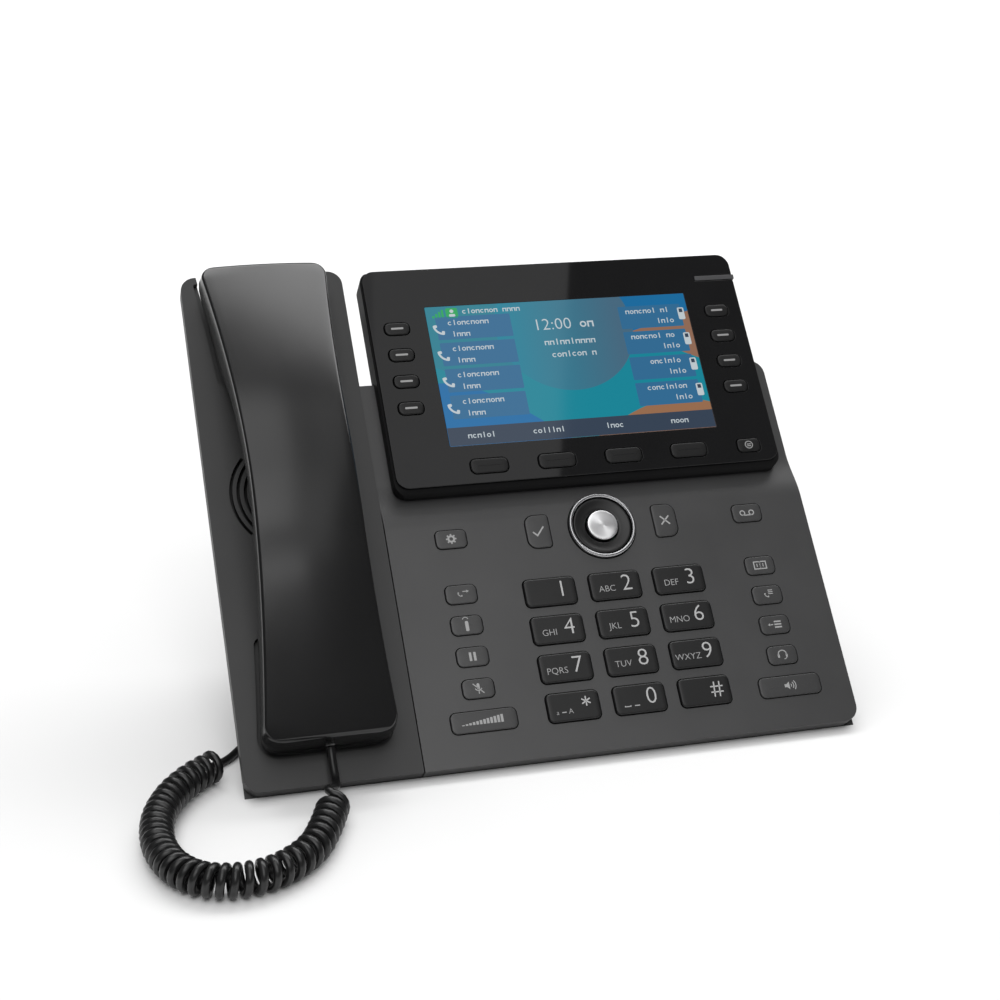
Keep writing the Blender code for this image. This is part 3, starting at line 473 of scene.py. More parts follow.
class Pen:
    """Lays flat ink about one place, at one height. All its strokes go into one bmesh."""

    def __init__(self, x, v, h, mesh_data=None):
        self.x, self.v, self.h = x, v, h
        self.data = bmesh.new() if mesh_data is None else mesh_data

    def shape(self, outline):
        places = [(self.x + x, self.v + v) for x, v in outline]
        add_loft(self.data, prism(places, self.h - INK_DEPTH, self.h + INK_DEPTH))

    def box(self, x, v, width, height, radius=0.0):
        if radius:
            self.shape(rounded(x, v, width, height, radius, 3))
        else:
            self.shape(box_outline(x - width / 2, x + width / 2, v - height / 2, v + height / 2))

    def ring(self, x, v, outer, inner, start=0, turn=360):
        """A ring, or part of one, from start through turn degrees."""
        steps = max(4, round(turn / 18))
        angles = [math.radians(start + turn * index / steps) for index in range(steps + 1)]
        for low, high in zip(angles, angles[1:]):
            self.shape([(x + r * math.cos(a), v + r * math.sin(a))
                        for r, a in ((outer, low), (outer, high), (inner, high), (inner, low))])

    def stroke(self, width, *points):
        """A line of even width through the points, with mitred corners."""
        points = [Vector(point) for point in points]
        sides = ([], [])
        last = len(points) - 1
        for index, here in enumerate(points):
            before, after = points[max(index - 1, 0)], points[min(index + 1, last)]
            first = (here - before).normalized() if index else (after - here).normalized()
            second = (after - here).normalized() if index < last else first
            along = (first + second).normalized()
            normal = Vector((-along.y, along.x))
            reach = width / 2 / max(0.35, normal.dot(Vector((-first.y, first.x))))
            sides[0].append(tuple(here + normal * reach))
            sides[1].append(tuple(here - normal * reach))
        self.shape(sides[0] + sides[1][::-1])

    def words(self, text, x, v, size, squeeze=1.0):
        """Generic lettering from Blender's own font, its capitals about 0.7 of size tall."""
        curve = bpy.data.curves.new("words", 'FONT')
        curve.body = text
        curve.size = size
        curve.align_x = 'CENTER'
        curve.extrude = INK_DEPTH
        curve.offset = -0.012 * size
        curve.resolution_u = 3
        holder = bpy.data.objects.new("words", curve)
        bpy.context.collection.objects.link(holder)
        bpy.context.view_layer.update()
        mesh = bpy.data.meshes.new_from_object(holder.evaluated_get(bpy.context.evaluated_depsgraph_get()))
        place = Matrix.Translation((self.x + x, self.v + v, self.h))
        mesh.transform(place @ Matrix.Diagonal((squeeze, 1, 1, 1)))
        self.data.from_mesh(mesh)
        bpy.data.objects.remove(holder, do_unlink=True)

    def made_up_words(self, x, v, letters, size):
        """A line of made-up letters, for print that stays unreadable."""
        foot, head, side, line = -0.3 * size, 0.22 * size, 0.22 * size, 0.14 * size
        for index, letter in enumerate(letters):
            left = x + index * size * 0.68
            if letter == "o":
                self.ring(left, v, size * 0.3, size * 0.17)
            elif letter == "l":
                self.box(left, v + size * 0.12, line, size * 0.85)
            elif letter == "n":
                self.stroke(line, (left - side, v + foot), (left - side, v + head), (left + side, v + head),
                            (left + side, v + foot))
            elif letter == "c":
                self.ring(left, v, size * 0.3, size * 0.17, 45, 270)

    def receiver(self, x, v, size):
        """A telephone receiver seen from the side, its hollow to the upper right."""
        angles = [math.radians(190 + 70 * index / 8) for index in range(9)]
        points = [(x + size * (0.55 + math.cos(angle)), v + size * (0.55 + math.sin(angle)))
                  for angle in angles]
        self.stroke(size * 0.2, *points)
        for point, turn in ((points[0], 10), (points[-1], 80)):
            spin = Matrix.Rotation(math.radians(turn), 2)
            end = rounded(0.12 * size, 0, size * 0.42, size * 0.3, size * 0.1, 2)
            self.shape([tuple(Vector(point) + spin @ Vector(corner)) for corner in end])


# ---------------------------------------------------------------- keys

DIAL_PITCH_X, DIAL_PITCH_V, DIAL_TOP_V = 26.1, 15.3, 63.9
SIDE_COLUMN, SIDE_TOP_V, SIDE_PITCH_V = 60.7, 66.4, 12.5
DIAL_SIZE, SIDE_SIZE, WIDE_SIZE, TALL_SIZE = (20.4, 11.2), (12, 7.4), (25, 8), (9.4, 13.6)
DIAL_ROUND, SIDE_ROUND = 2.1, 2.2
DISPLAY_COLUMN, LINE_TOP_V, LINE_PITCH_V = 68, 179.3, 11.83
PAGE_COLUMN, SOFT_PITCH_X, SOFT_V = 67, 27.5, 116.8
DIAL = (("1", ""), ("2", "ABC"), ("3", "DEF"), ("4", "GHI"), ("5", "JKL"), ("6", "MNO"),
        ("7", "PQRS"), ("8", "TUV"), ("9", "WXYZ"), ("star", ""), ("0", ""), ("hash", ""))
LEFT_NAMES = ("transfer_key", "paging_key", "hold_key", "mute_key")
RIGHT_NAMES = ("directory_key", "call_log_key", "menu_list_key", "headset_key")
DIAL_RISE, FUNCTION_RISE = 0.9, 0.6


def cap_rings(x, v, size, radii, base, top, edge, crown):
    """A key cap: straight sides, a rounded edge and a faintly crowned top."""
    width, height = size

    def ring(inset, level):
        inner = tuple(max(radius - inset, 0.15) for radius in four(radii))
        return at(rounded(x, v, width - 2 * inset, height - 2 * inset, inner), level)

    rings = [ring(0, base), ring(0, top - edge - crown)]
    for step in range(1, 5):
        angle = math.radians(90 * step / 4)
        rings.append(ring(edge * (1 - math.cos(angle)), top - crown - edge * (1 - math.sin(angle))))
    reach = min(size) / 2 - edge
    for step in range(1, 5):
        inset = edge + reach * 0.24 * step
        rings.append(ring(inset, top - crown * (1 - 0.24 * step) ** 2))
    return rings


def make_key(name, x, v, size, radii, material, top, base=-2.7, edge=0.5, crown=0.12):
    rings = cap_rings(x, v, size, radii, base, top, edge, crown)
    make_piece(f"{name}_cap", lofted(rings), material, name, replaces=(name,), angle=50)


def draw_digit(pen, label):
    if label == "star":
        for turn in (90, 30, 150):
            x, v = 1.9 * math.cos(math.radians(turn)), 1.9 * math.sin(math.radians(turn))
            pen.stroke(0.5, (5 - x, 1.4 - v), (5 + x, 1.4 + v))
    elif label == "hash":
        for side in (-1, 1):
            pen.stroke(0.5, (4.55 + side * 1.05, -2.8), (5.05 + side * 1.05, 3.2))
            pen.stroke(0.5, (2.3, 0.2 + side * 1.1), (7.3, 0.2 + side * 1.1))
    else:
        pen.words(label, 4.6, -2.4, 9.4)


def draw_letters(pen, label, letters):
    """The small print beside a digit: letters, or the marks of the star and zero keys."""
    if letters:
        pen.words(letters, -3.5, -2.3, 3.6, squeeze=0.98)
    elif label == "star":
        pen.words("a", -6.6, -2.8, 2.6)
        pen.words("A", -1.4, -2.8, 2.9)
        pen.stroke(0.4, (-4.9, -2.1), (-3.2, -2.1))
    else:
        pen.stroke(0.35, (-6.4, -2.3), (-6.4, -2.7), (-4.2, -2.7), (-4.2, -2.3))
        pen.stroke(0.4, (-2.6, -2.6), (-0.6, -2.6))


def dial_places():
    for index, (label, letters) in enumerate(DIAL):
        yield label, letters, PANEL_X + (index % 3 - 1) * DIAL_PITCH_X, DIAL_TOP_V - index // 3 * DIAL_PITCH_V


def make_dial():
    for label, letters, x, v in dial_places():
        name = f"dial_key_{label}"
        make_key(name, x, v, DIAL_SIZE, DIAL_ROUND, "dial_key_black", DIAL_RISE, edge=0.7, crown=0.0)
        pen = Pen(x, v, DIAL_RISE + 0.01)
        draw_digit(pen, label)
        make_piece(f"{name}_legend", pen.data, "ink", name)
        if letters or label in ("star", "0"):
            pen = Pen(x, v, DIAL_RISE + 0.01)
            draw_letters(pen, label, letters)
            make_piece(f"{name}_letters", pen.data, "dim_ink", name)


def draw_transfer(pen):
    pen.receiver(-0.6, -0.2, 1.7)
    pen.stroke(0.35, (0.6, 1.0), (2.4, 1.0))
    pen.shape([(2.1, 0.4), (3.1, 1.0), (2.1, 1.6)])


def draw_paging(pen):
    pen.box(0, -0.4, 1.3, 4.0, 0.4)
    pen.ring(-0.3, 2.0, 1.3, 1.0, 20, 140)


def draw_hold(pen):
    for side in (-1, 1):
        pen.box(side * 0.85, 0, 0.95, 3.4)


def draw_mute(pen):
    pen.box(0, 0.8, 1.1, 2.4, 0.5)
    pen.ring(0, 0.5, 1.5, 1.15, 200, 140)
    pen.box(0, -1.6, 0.35, 1.0)
    pen.stroke(0.4, (-1.9, 1.9), (1.9, -1.9))


def draw_directory(pen):
    for side in (-1, 1):
        pen.stroke(0.45, (0, -1.5), (side * 2.5, -1.5), (side * 2.5, 1.5), (0, 1.5), (0, -1.5))
        pen.stroke(0.35, (side * 1.25, -0.7), (side * 1.25, 0.7))


def draw_call_log(pen):
    pen.receiver(-0.4, -0.3, 1.7)
    for row in range(3):
        pen.box(1.4, 0.3 + row * 0.75, 1.9, 0.35)


def draw_menu_list(pen):
    pen.shape([(-2.9, 0.0), (-2.0, -0.6), (-2.0, 0.6)])
    pen.box(-1.3, 0, 1.1, 0.4)
    for row in (-1, 0, 1):
        pen.box(1.2, row * 1.15, 2.9, 0.6)


def draw_headset(pen):
    pen.ring(0, 0.1, 1.9, 1.5, -10, 200)
    for side in (-1, 1):
        pen.box(side * 1.65, -0.4, 0.8, 1.5, 0.3)
    pen.ring(0.4, -0.4, 1.55, 1.25, 270, 80)


def draw_speaker(pen):
    pen.shape([(-2.3, -0.6), (-1.4, -0.6), (-0.3, -1.5), (-0.3, 1.5), (-1.4, 0.6), (-2.3, 0.6)])
    for radius in (1.0, 1.9, 2.8):
        pen.ring(-0.3, 0, radius, radius - 0.35, -42, 84)


def draw_settings(pen):
    pen.ring(0, 0, 1.5, 0.75)
    for tooth in range(8):
        x, v = math.cos(math.tau * tooth / 8), math.sin(math.tau * tooth / 8)
        pen.stroke(0.6, (1.4 * x, 1.4 * v), (2.05 * x, 2.05 * v))


def draw_voicemail(pen):
    for side in (-1, 1):
        pen.ring(side * 1.9, 0, 1.2, 0.75)
    pen.box(0, -1.0, 3.8, 0.42)


def draw_confirm(pen):
    pen.stroke(0.6, (-2.2, -0.2), (-0.6, -1.8), (2.3, 1.8))


def draw_cancel(pen):
    for side in (-1, 1):
        pen.stroke(0.6, (-1.8, -1.8 * side), (1.8, 1.8 * side))


def draw_volume(pen):
    for step in range(12):
        height = 0.35 + 0.24 * step
        pen.box(step * 1.35 - 8.1, height / 2 - 1.2, 0.95, height)


ICONS = {
    "transfer_key": draw_transfer, "paging_key": draw_paging, "hold_key": draw_hold, "mute_key": draw_mute,
    "directory_key": draw_directory, "call_log_key": draw_call_log, "menu_list_key": draw_menu_list,
    "headset_key": draw_headset, "speaker_key": draw_speaker, "volume_rocker": draw_volume,
    "settings_key": draw_settings, "voicemail_key": draw_voicemail, "confirm_key": draw_confirm,
    "cancel_key": draw_cancel,
}


def function_keys():
    """Name, x, v, size and radii of every function key."""
    keys = []
    for side, names in ((-1, LEFT_NAMES), (1, RIGHT_NAMES)):
        for index, name in enumerate(names):
            keys.append((name, PANEL_X + side * SIDE_COLUMN, SIDE_TOP_V - index * SIDE_PITCH_V,
                         SIDE_SIZE, SIDE_ROUND))
    low_v = SIDE_TOP_V - 4 * SIDE_PITCH_V
    keys.append(("volume_rocker", PANEL_X - SIDE_COLUMN, low_v, WIDE_SIZE, SIDE_ROUND))
    keys.append(("speaker_key", PANEL_X + SIDE_COLUMN, low_v, WIDE_SIZE, SIDE_ROUND))
    keys.append(("settings_key", PANEL_X - SIDE_COLUMN, NAV_V, SIDE_SIZE, 2))
    keys.append(("voicemail_key", PANEL_X + SIDE_COLUMN, NAV_V, SIDE_SIZE, 2))
    keys.append(("confirm_key", PANEL_X - 26, NAV_V, TALL_SIZE, (1.5, 3.6, 3.6, 1.5)))
    keys.append(("cancel_key", PANEL_X + 26, NAV_V, TALL_SIZE, (3.6, 1.5, 1.5, 3.6)))
    return keys


def make_function_keys():
    for name, x, v, size, radii in function_keys():
        make_key(name, x, v, size, radii, "function_key_grey", FUNCTION_RISE, edge=0.35, crown=0.1)
        pen = Pen(x, v, FUNCTION_RISE - 0.005)
        ICONS[name](pen)
        make_piece(f"{name}_legend", pen.data, "dim_ink", name)


def display_keys():
    """Name, x, v, size and radius of every key on the display."""
    keys = []
    for side, label in ((-1, "left"), (1, "right")):
        for index in range(4):
            keys.append((f"line_key_{label}_{index + 1}", PANEL_X + side * DISPLAY_COLUMN,
                         LINE_TOP_V - index * LINE_PITCH_V, (10, 5.3), 2.2))
    for index in range(4):
        keys.append((f"soft_key_{index + 1}", PANEL_X + (index - 1.5) * SOFT_PITCH_X, SOFT_V, (15, 6), 2.2))
    keys.append(("page_key", PANEL_X + PAGE_COLUMN, SOFT_V, (9.6, 5.6), 1.8))
    return keys


def make_display_keys():
    top = LENS_FRONT + 0.5
    for name, x, v, size, radius in display_keys():
        make_key(name, x, v, size, radius, "gloss_black", top, base=2.95, edge=0.45, crown=0.1)
        pen = Pen(x, v, top - 0.005)
        if name.startswith("line"):
            pen.box(0, 0, 5.0, 0.85, 0.3)
            make_piece(f"{name}_legend", pen.data, "lit", name)
        elif name == "page_key":
            pen.ring(0, 0, 1.7, 1.4)
            for row in (-0.5, 0.3):
                pen.box(0, row, 1.6, 0.35)
            make_piece(f"{name}_legend", pen.data, "dim_ink", name)


# ---------------------------------------------------------------- front pieces

THROUGH = (-12, 8)
STEP_V, STEP_LENGTH, STEP_DROP = 95, 20, 3.5
NAV_HOLE = 13.5
CUP_GAP, CUPS = 0.4, ((11, 57.5, 9, 3), (161, 207, 3, 1))
NOTCH_V, NOTCH_INSET = 197, 1.6
GRILLE_V, SLOT_RADII, SLOT_HALF = 114, (18.0, 20.75, 23.45), 0.6


def smooth(value):
    value = min(max(value, 0), 1)
    return value * value * (3 - 2 * value)


def panel_height(v):
    """The key area, then the step down to the display's deck."""
    return -STEP_DROP * smooth((v - STEP_V) / STEP_LENGTH)


def hole(x, v, size, radii):
    """The hole a key moves in, with the gap all round."""
    width, height = (side + 2 * GAP for side in size)
    return prism(rounded(x, v, width, height, tuple(radius + GAP for radius in four(radii))), *THROUGH)


def make_front_housing():
    outline = rounded((SEAM + 0.2 + RIGHT) / 2, PANEL_LENGTH / 2, RIGHT - SEAM - 0.2, PANEL_LENGTH,
                      (CORNER, 0.3, 0.3, CORNER))
    steps = [STEP_V + STEP_LENGTH * index / 24 for index in range(25)]
    face = [(v, panel_height(v)) for v in (-10, *steps, PANEL_LENGTH + 10)]
    above = face + [(PANEL_LENGTH + 10, 10), (-10, 10)]
    shell = carve(lofted(prism(outline, -RIM, 2)), lofted(across(above, SEAM - 10, RIGHT + 10)))
    below = [(v, panel_height(v) - WALL) for v in (WALL, *steps[::4], PANEL_LENGTH - WALL)]
    below += [(PANEL_LENGTH - WALL, -12), (WALL, -12)]
    shell = carve(shell, lofted(across(below, SEAM + WALL, RIGHT - WALL)))
    holes = [hole(x, v, size, radii) for _, x, v, size, radii in function_keys()]
    holes += [hole(x, v, DIAL_SIZE, DIAL_ROUND) for _, _, x, v in dial_places()]
    holes.append(prism(circle(PANEL_X, NAV_V, NAV_HOLE + GAP), *THROUGH))
    shell = carve(shell, lofted(*holes))
    make_piece("front_panel", shell, "grey_satin", "base", ["front_housing"],
               bevel=0.25, angle=40)


def arc_slot(radius, half_width, centre_angle):
    """One curved speaker slot about the cradle's grille centre, its ends cut straight across."""
    half_angle = math.radians(42)
    angles = [centre_angle + half_angle * (index / 12 - 1) for index in range(25)]
    points = [(radius + half_width, angle) for angle in angles]
    points += [(radius - half_width, angle) for angle in angles[::-1]]
    return [(CRADLE_X + r * math.cos(angle), GRILLE_V + r * math.sin(angle)) for r, angle in points]


def cup_outline(low, high, low_round, high_round):
    """The handset's plan between two places along it, with clearance and rounded corners."""
    angles = [math.radians(9 * step) for step in range(11)]
    right = [(low + low_round * (1 - math.cos(a)), low_round * (1 - math.sin(a))) for a in angles]
    straight = high - high_round - low - low_round
    right += [(low + low_round + straight * step / 16, 0) for step in range(1, 16)]
    right += [(high - high_round * (1 - math.sin(a)), high_round * (1 - math.cos(a))) for a in angles]
    half = [(handset_half_width(v) + CUP_GAP - inset, v) for v, inset in right]
    return [(HANDSET_X + x, v) for x, v in half] + [(HANDSET_X - x, v) for x, v in half[::-1]]


def make_cradle():
    outline = rounded(CRADLE_X - 0.1, CRADLE_LENGTH / 2, SEAM - LEFT - 0.2, CRADLE_LENGTH,
                      (CORNER, CORNER, CORNER, 0.3))
    shell = lofted(prism(outline, -RIM, 0))
    past_top = CRADLE_LENGTH + 10
    low_half, high_half = (handset_half_width(v) - NOTCH_INSET for v in (NOTCH_V, past_top))
    notch = [(HANDSET_X - low_half, NOTCH_V), (HANDSET_X + low_half, NOTCH_V),
             (HANDSET_X + high_half, past_top), (HANDSET_X - high_half, past_top)]
    tools = [prism(notch, *THROUGH)]
    low_x, high_x = LEFT + WALL, SEAM - WALL
    tools.append(prism(box_outline(low_x, high_x, 61, 157), -12, -2.6))
    shell = carve(shell, lofted(*tools))
    shell = carve(shell, lofted(prism(box_outline(low_x, high_x, WALL, 60.9), -12, -5.2),
                                prism(box_outline(low_x, high_x, 157.1, 191), -12, -5.2)))
    shell = carve(shell, lofted(*(prism(cup_outline(*ends), -2.5, 6) for ends in CUPS)))
    slots = [prism(arc_slot(radius, SLOT_HALF, turn), *THROUGH)
             for radius in SLOT_RADII for turn in (0, math.pi)]
    slots.append(prism(rounded(CRADLE_X, 178, 8.8, 5.8, 1), *THROUGH))
    shell = carve(shell, lofted(*slots))
    make_piece("cradle_tray", shell, "cradle_matte", "base", ["cradle"], bevel=0.15, angle=40)


# ---------------------------------------------------------------- display

LENS_LOW = 109.8


def display_shell_profile():
    return [(LENS_LOW, 2.95), (DISPLAY_BOTTOM + 1.0, 2.2), (DISPLAY_BOTTOM, 0.4), (DISPLAY_BOTTOM, -1.7),
            (115, -3.15), (PANEL_LENGTH + 0.8, -3.15), (PANEL_LENGTH + 0.8, -7), (DISPLAY_TOP - 4, -7),
            (DISPLAY_TOP, -4), (DISPLAY_TOP, 1.8), (DISPLAY_TOP - 1.2, 2.95)]


def make_display():
    half = DISPLAY_WIDTH / 2
    middle_v, height = (DISPLAY_BOTTOM + DISPLAY_TOP) / 2, DISPLAY_TOP - DISPLAY_BOTTOM
    shell = lofted(across(display_shell_profile(), PANEL_X - half, PANEL_X + half))
    plan = rounded(PANEL_X, middle_v, DISPLAY_WIDTH, height, 5.5, 10)
    shell = carve(shell, lofted(prism(plan, -20, 20)), 'INTERSECT')
    tray = rounded(PANEL_X, 158.7, DISPLAY_WIDTH - 2 * WALL, 92, 4)
    shell = carve(shell, lofted(prism(tray, -1.2, 20)))
    light_slot = box_outline(PANEL_X + 61.7, PANEL_X + half + 10, 193.8, 196.6)
    shell = carve(shell, lofted(prism(light_slot, 1.2, 20)))
    make_piece("display_shell", shell, "display_side", "base", ["display_housing"],
               bevel=0.5, angle=40)

    lens_high = DISPLAY_TOP - 0.8
    plan = rounded(PANEL_X, (LENS_LOW + lens_high) / 2, DISPLAY_WIDTH - 1.6, lens_high - LENS_LOW, 5, 10)
    lens = lofted(prism(plan, 3.3, LENS_FRONT))
    holes = [hole(x, v, size, radius) for _, x, v, size, radius in display_keys()]
    holes.append(prism(light_slot, 0, 20))
    holes.append(prism(rounded(PANEL_X, SCREEN_V, SCREEN_WIDTH, SCREEN_HEIGHT, 0.3), 0, 20))
    lens = carve(lens, lofted(*holes))
    make_piece("display_window", lens, "smoked_lens", "base", ["display_lens"],
               bevel=0.2, angle=40)
    picture = rounded(PANEL_X, SCREEN_V, SCREEN_WIDTH - 0.04, SCREEN_HEIGHT - 0.04, 0.3)
    make_piece("screen_glass", lofted(prism(picture, 2.0, LENS_FRONT - SCREEN_GAP)), "screen", "base",
               ["lcd_panel"])
    bar = box_outline(PANEL_X + 62.1, PANEL_X + half + 0.1, 194.2, 196.2)
    make_piece("light_bar", lofted(prism(bar, 1.6, LENS_FRONT + 0.1)), "message_light", "base",
               ["message_light"], bevel=0.2)


def make_screen_print():
    """Status row, eight line labels, a clock and the soft-key bar."""
    h = LENS_FRONT - SCREEN_GAP
    labels, words, bar, green = Pen(0, 0, h), Pen(0, 0, h + 0.03), Pen(0, 0, h), Pen(0, 0, h)
    raised = Pen(0, 0, h + 0.07, bar.data)
    left, right = PANEL_X - SCREEN_WIDTH / 2, PANEL_X + SCREEN_WIDTH / 2
    low, high = SCREEN_V - SCREEN_HEIGHT / 2, SCREEN_V + SCREEN_HEIGHT / 2
    bar.box(PANEL_X, low + 4, SCREEN_WIDTH - 0.1, 7.9)
    for index, text in enumerate(("ncnlol", "colllnl", "lnoc", "noon")):
        words.made_up_words(PANEL_X + (index - 1.5) * SOFT_PITCH_X - len(text) * 0.9, low + 3.8, text, 2.8)
    green.box(left + 10.8, high - 3.2, 5, 4.6, 0.8)
    for step in range(4):
        tall = 1.0 + 0.9 * step
        green.box(left + 3 + step * 1.3, high - 5.2 + tall / 2, 0.9, tall)
    words.ring(left + 10.8, high - 2.4, 0.8, 0.0)
    words.box(left + 10.8, high - 4.3, 2.6, 1.2, 0.5)
    words.made_up_words(left + 16, high - 3.0, "cloncnon nnnn", 2.75)
    for row, text in enumerate(("noncnol nl", "noncnol no", "onclnlo", "conclnlon")):
        v = LINE_TOP_V - row * LINE_PITCH_V
        labels.box(left + 19, v - 0.9, 31, 10.4, 0.4)
        words.receiver(left + 4.2, v - 1.6, 4.2)
        words.made_up_words(left + 9.2, v + 1.2, "cloncnonn", 2.8)
        words.made_up_words(left + 10.2, v - 4.0, "lnnn", 2.8)
        labels.box(right - 16.5, v - 0.9, 27, 10.4, 0.4)
        words.made_up_words(right - 7.2 - len(text) * 1.9, v + 1.6, text, 2.8)
        words.made_up_words(right - 13.5, v - 3.4, "lnlo", 2.8)
        words.box(right - 3.0, v - 0.3, 2.8, 5.6, 0.6)
        raised.box(right - 3.0, v + 1.1, 1.5, 1.7)
    words.words("12:00", PANEL_X - 3.8, high - 13.4, 7.4)
    words.made_up_words(PANEL_X + 9.2, high - 11.7, "on", 4.6)
    words.made_up_words(PANEL_X - 7.7, high - 19.5, "nnlnnlnnnn", 3.2)
    words.made_up_words(PANEL_X - 5.6, high - 25.2, "conlcon n", 3.1)
    for name, pen, material in (("screen_labels", labels, "label"), ("screen_bar", bar, "bar"),
                                ("screen_status", green, "green"), ("screen_words", words, "words")):
        make_piece(name, pen.data, material, "base")


# ---------------------------------------------------------------- navigator

def turned(profile, x=0.0, v=0.0, count=96):
    """A ring turned from a closed (radius, height) profile."""
    mesh_data = bmesh.new()
    loops = [[mesh_data.verts.new(point) for point in at(circle(x, v, radius, count), height)]
             for radius, height in profile]
    for low, high in zip(loops, loops[1:] + loops[:1]):
        for index in range(count):
            after = (index + 1) % count
            mesh_data.faces.new((low[index], low[after], high[after], high[index]))
    return mesh_data


def make_navigation():
    angles = [math.radians(degrees) for degrees in range(0, 181, 20)]
    lip = [(12.75 + 0.75 * math.cos(angle), 0.75 + 0.75 * math.sin(angle)) for angle in angles]
    make_piece("nav_silver_ring", turned([(13.5, -2.2), *lip, (12.0, -2.2)], PANEL_X, NAV_V), "silver_trim",
               "base", ["nav_trim_ring"], angle=50)
    dish = [(11.6, -3.4), (11.6, 0.55), (11.3, 0.85), (10.9, 0.85), (10.2, 0.6), (9.0, 0.25), (8.0, 0.08),
            (7.1, 0.02), (6.8, -0.2), (6.8, -3.4)]
    make_piece("nav_dish", turned(dish, PANEL_X, NAV_V), "dial_key_black", "nav_ring",
               ["nav_ring"], angle=50)
    rings = [at(circle(0, 0, 6.2), -3.6), at(circle(0, 0, 6.2), 1.1)]
    for step in range(1, 5):
        angle = math.radians(22.5 * step)
        rings.append(at(circle(0, 0, 6.2 - 0.5 * (1 - math.cos(angle))), 1.1 + 0.5 * math.sin(angle)))
    for radius in (4.5, 3, 1.5, 0.3):
        rings.append(at(circle(0, 0, radius), 1.6 + 0.1 * (1 - radius / 5.7)))
    centre = PANEL @ Matrix.Translation((PANEL_X, NAV_V, 0))
    make_piece("nav_knob", lofted(rings), "knob", "nav_centre", ["nav_centre"], place=centre,
               angle=50, local=True)


# ---------------------------------------------------------------- handset

def handset_half_width(v):
    reach = (v - HANDSET_MID) / (HANDSET_HIGH - HANDSET_MID)
    return HANDSET_WAIST + HANDSET_FLARE * reach * reach


def handset_ridge(v):
    """Height of the edge between the handset's face and its sides."""
    return RIDGE_CREST - math.hypot(RIDGE_SLOPE * (v - HANDSET_MID), RIDGE_ROUND)


def handset_underside(v):
    """Flat pads at both ends, with the hand's arch between them and a lifted tip at the ear."""
    arch = handset_ridge(v) - 17
    rise = smooth((v - 50) / 26) * smooth((170 - v) / 26)
    tip = 4.5 * smooth((v - 190) / (HANDSET_HIGH - 190)) ** 2
    return PAD_HEIGHT + (arch - PAD_HEIGHT) * rise + tip


END_ROUND, EDGE_ROUND, SPLIT_DEPTH = 6.5, 1.3, 6.5


def handset_stations():
    """(v, inset) along the handset: rounded edges at both ends, close together where it curves."""
    stations = []
    for step in range(5):
        angle = math.radians(90 * step / 4)
        stations.append((HANDSET_LOW + EDGE_ROUND * (1 - math.sin(angle)),
                         EDGE_ROUND * (1 - math.cos(angle))))
    stations = stations[::-1]
    ends = [(HANDSET_LOW + EDGE_ROUND + 6 * (step / 6) ** 1.5, 0) for step in range(1, 7)]
    middle = [(20 + (197 - 20) * step / 66, 0) for step in range(1, 66)]
    mirrored = [(HANDSET_LOW + HANDSET_HIGH - v, inset) for v, inset in (stations + ends)[::-1]]
    return stations + ends + middle + mirrored


def handset_section(v, inset):
    """Half outline of the section at v, from the top middle down the right side to the bottom middle."""
    reach = min(v - HANDSET_LOW, HANDSET_HIGH - v)
    half = handset_half_width(v)
    if reach < END_ROUND:
        half += math.sqrt(max(END_ROUND ** 2 - (END_ROUND - reach) ** 2, 0)) - END_ROUND
    half -= inset
    ridge = handset_ridge(v) - inset
    low = handset_underside(v) + inset
    shoulder = half - HANDSET_LEAN * ((v - HANDSET_MID) / (HANDSET_HIGH - HANDSET_MID)) ** 2
    top = []
    for step in range(9):
        x = (shoulder - EDGE_ROUND) * step / 8
        top.append((x, ridge + 1.0 * (1 - (x / half) ** 2)))
    fillet_height = top[-1][1] - EDGE_ROUND
    for step in range(1, 6):
        angle = math.radians(90 - 18 * step)
        top.append((shoulder - EDGE_ROUND + EDGE_ROUND * math.cos(angle),
                    fillet_height + EDGE_ROUND * math.sin(angle)))
    split = handset_ridge(v) - SPLIT_DEPTH
    top.append((half, split + 0.1))
    bottom = [(half, split)]
    span = split - low
    bottom.append((half - 0.2, low + 0.6 * span))
    bottom.append((half - 0.6, low + 0.3 * span))
    curve = min(5.0, 0.4 * span)
    for step in range(1, 6):
        angle = math.radians(18 * step)
        bottom.append((half - 0.9 - curve * (1 - math.cos(angle)), low + curve * (1 - math.sin(angle))))
    bottom.append((half * 0.4, low))
    bottom.append((0, low))
    return top, bottom


def both_sides(points, v):
    """Close a right-hand half outline with its mirror image."""
    right = [(HANDSET_X + x, v, h) for x, h in points]
    left = [(HANDSET_X - x, v, h) for x, h in points if x > 0.001]
    return right + left[::-1]


def make_handset():
    outer, inner = [], []
    for v, inset in handset_stations():
        top, bottom = handset_section(v, inset)
        outer.append(both_sides(top, v))
        inner.append(both_sides(bottom, v))
    make_piece("handset_back", lofted(outer), "handset_satin", "handset",
               ["handset_outer_shell"], angle=50)
    make_piece("handset_front", lofted(inner), "handset_satin", "handset",
               ["handset_inner_shell"], angle=50)


# ---------------------------------------------------------------- cord

COIL_ROUTE = ((-90.2, -18.5), (-92.6, -25.2), (-96.0, -33.7), (-101.5, -44.7), (-109.5, -53.2),
              (-119.0, -58.5), (-129.5, -59.7), (-139.8, -56.1), (-147.0, -47.2), (-150.6, -34.7),
              (-150.8, -21.7), (-148.4, -9.2), (-142.8, 3.3), (-134.8, 13.8), (-126.0, 21.5))
COIL_RADIUS, WIRE, COIL_HEIGHT, TURNS = 4.5, 3.0, 6.25, 39.25
BASE_SOCKET, PLUG_HEIGHT = (-98, 50), 5.2


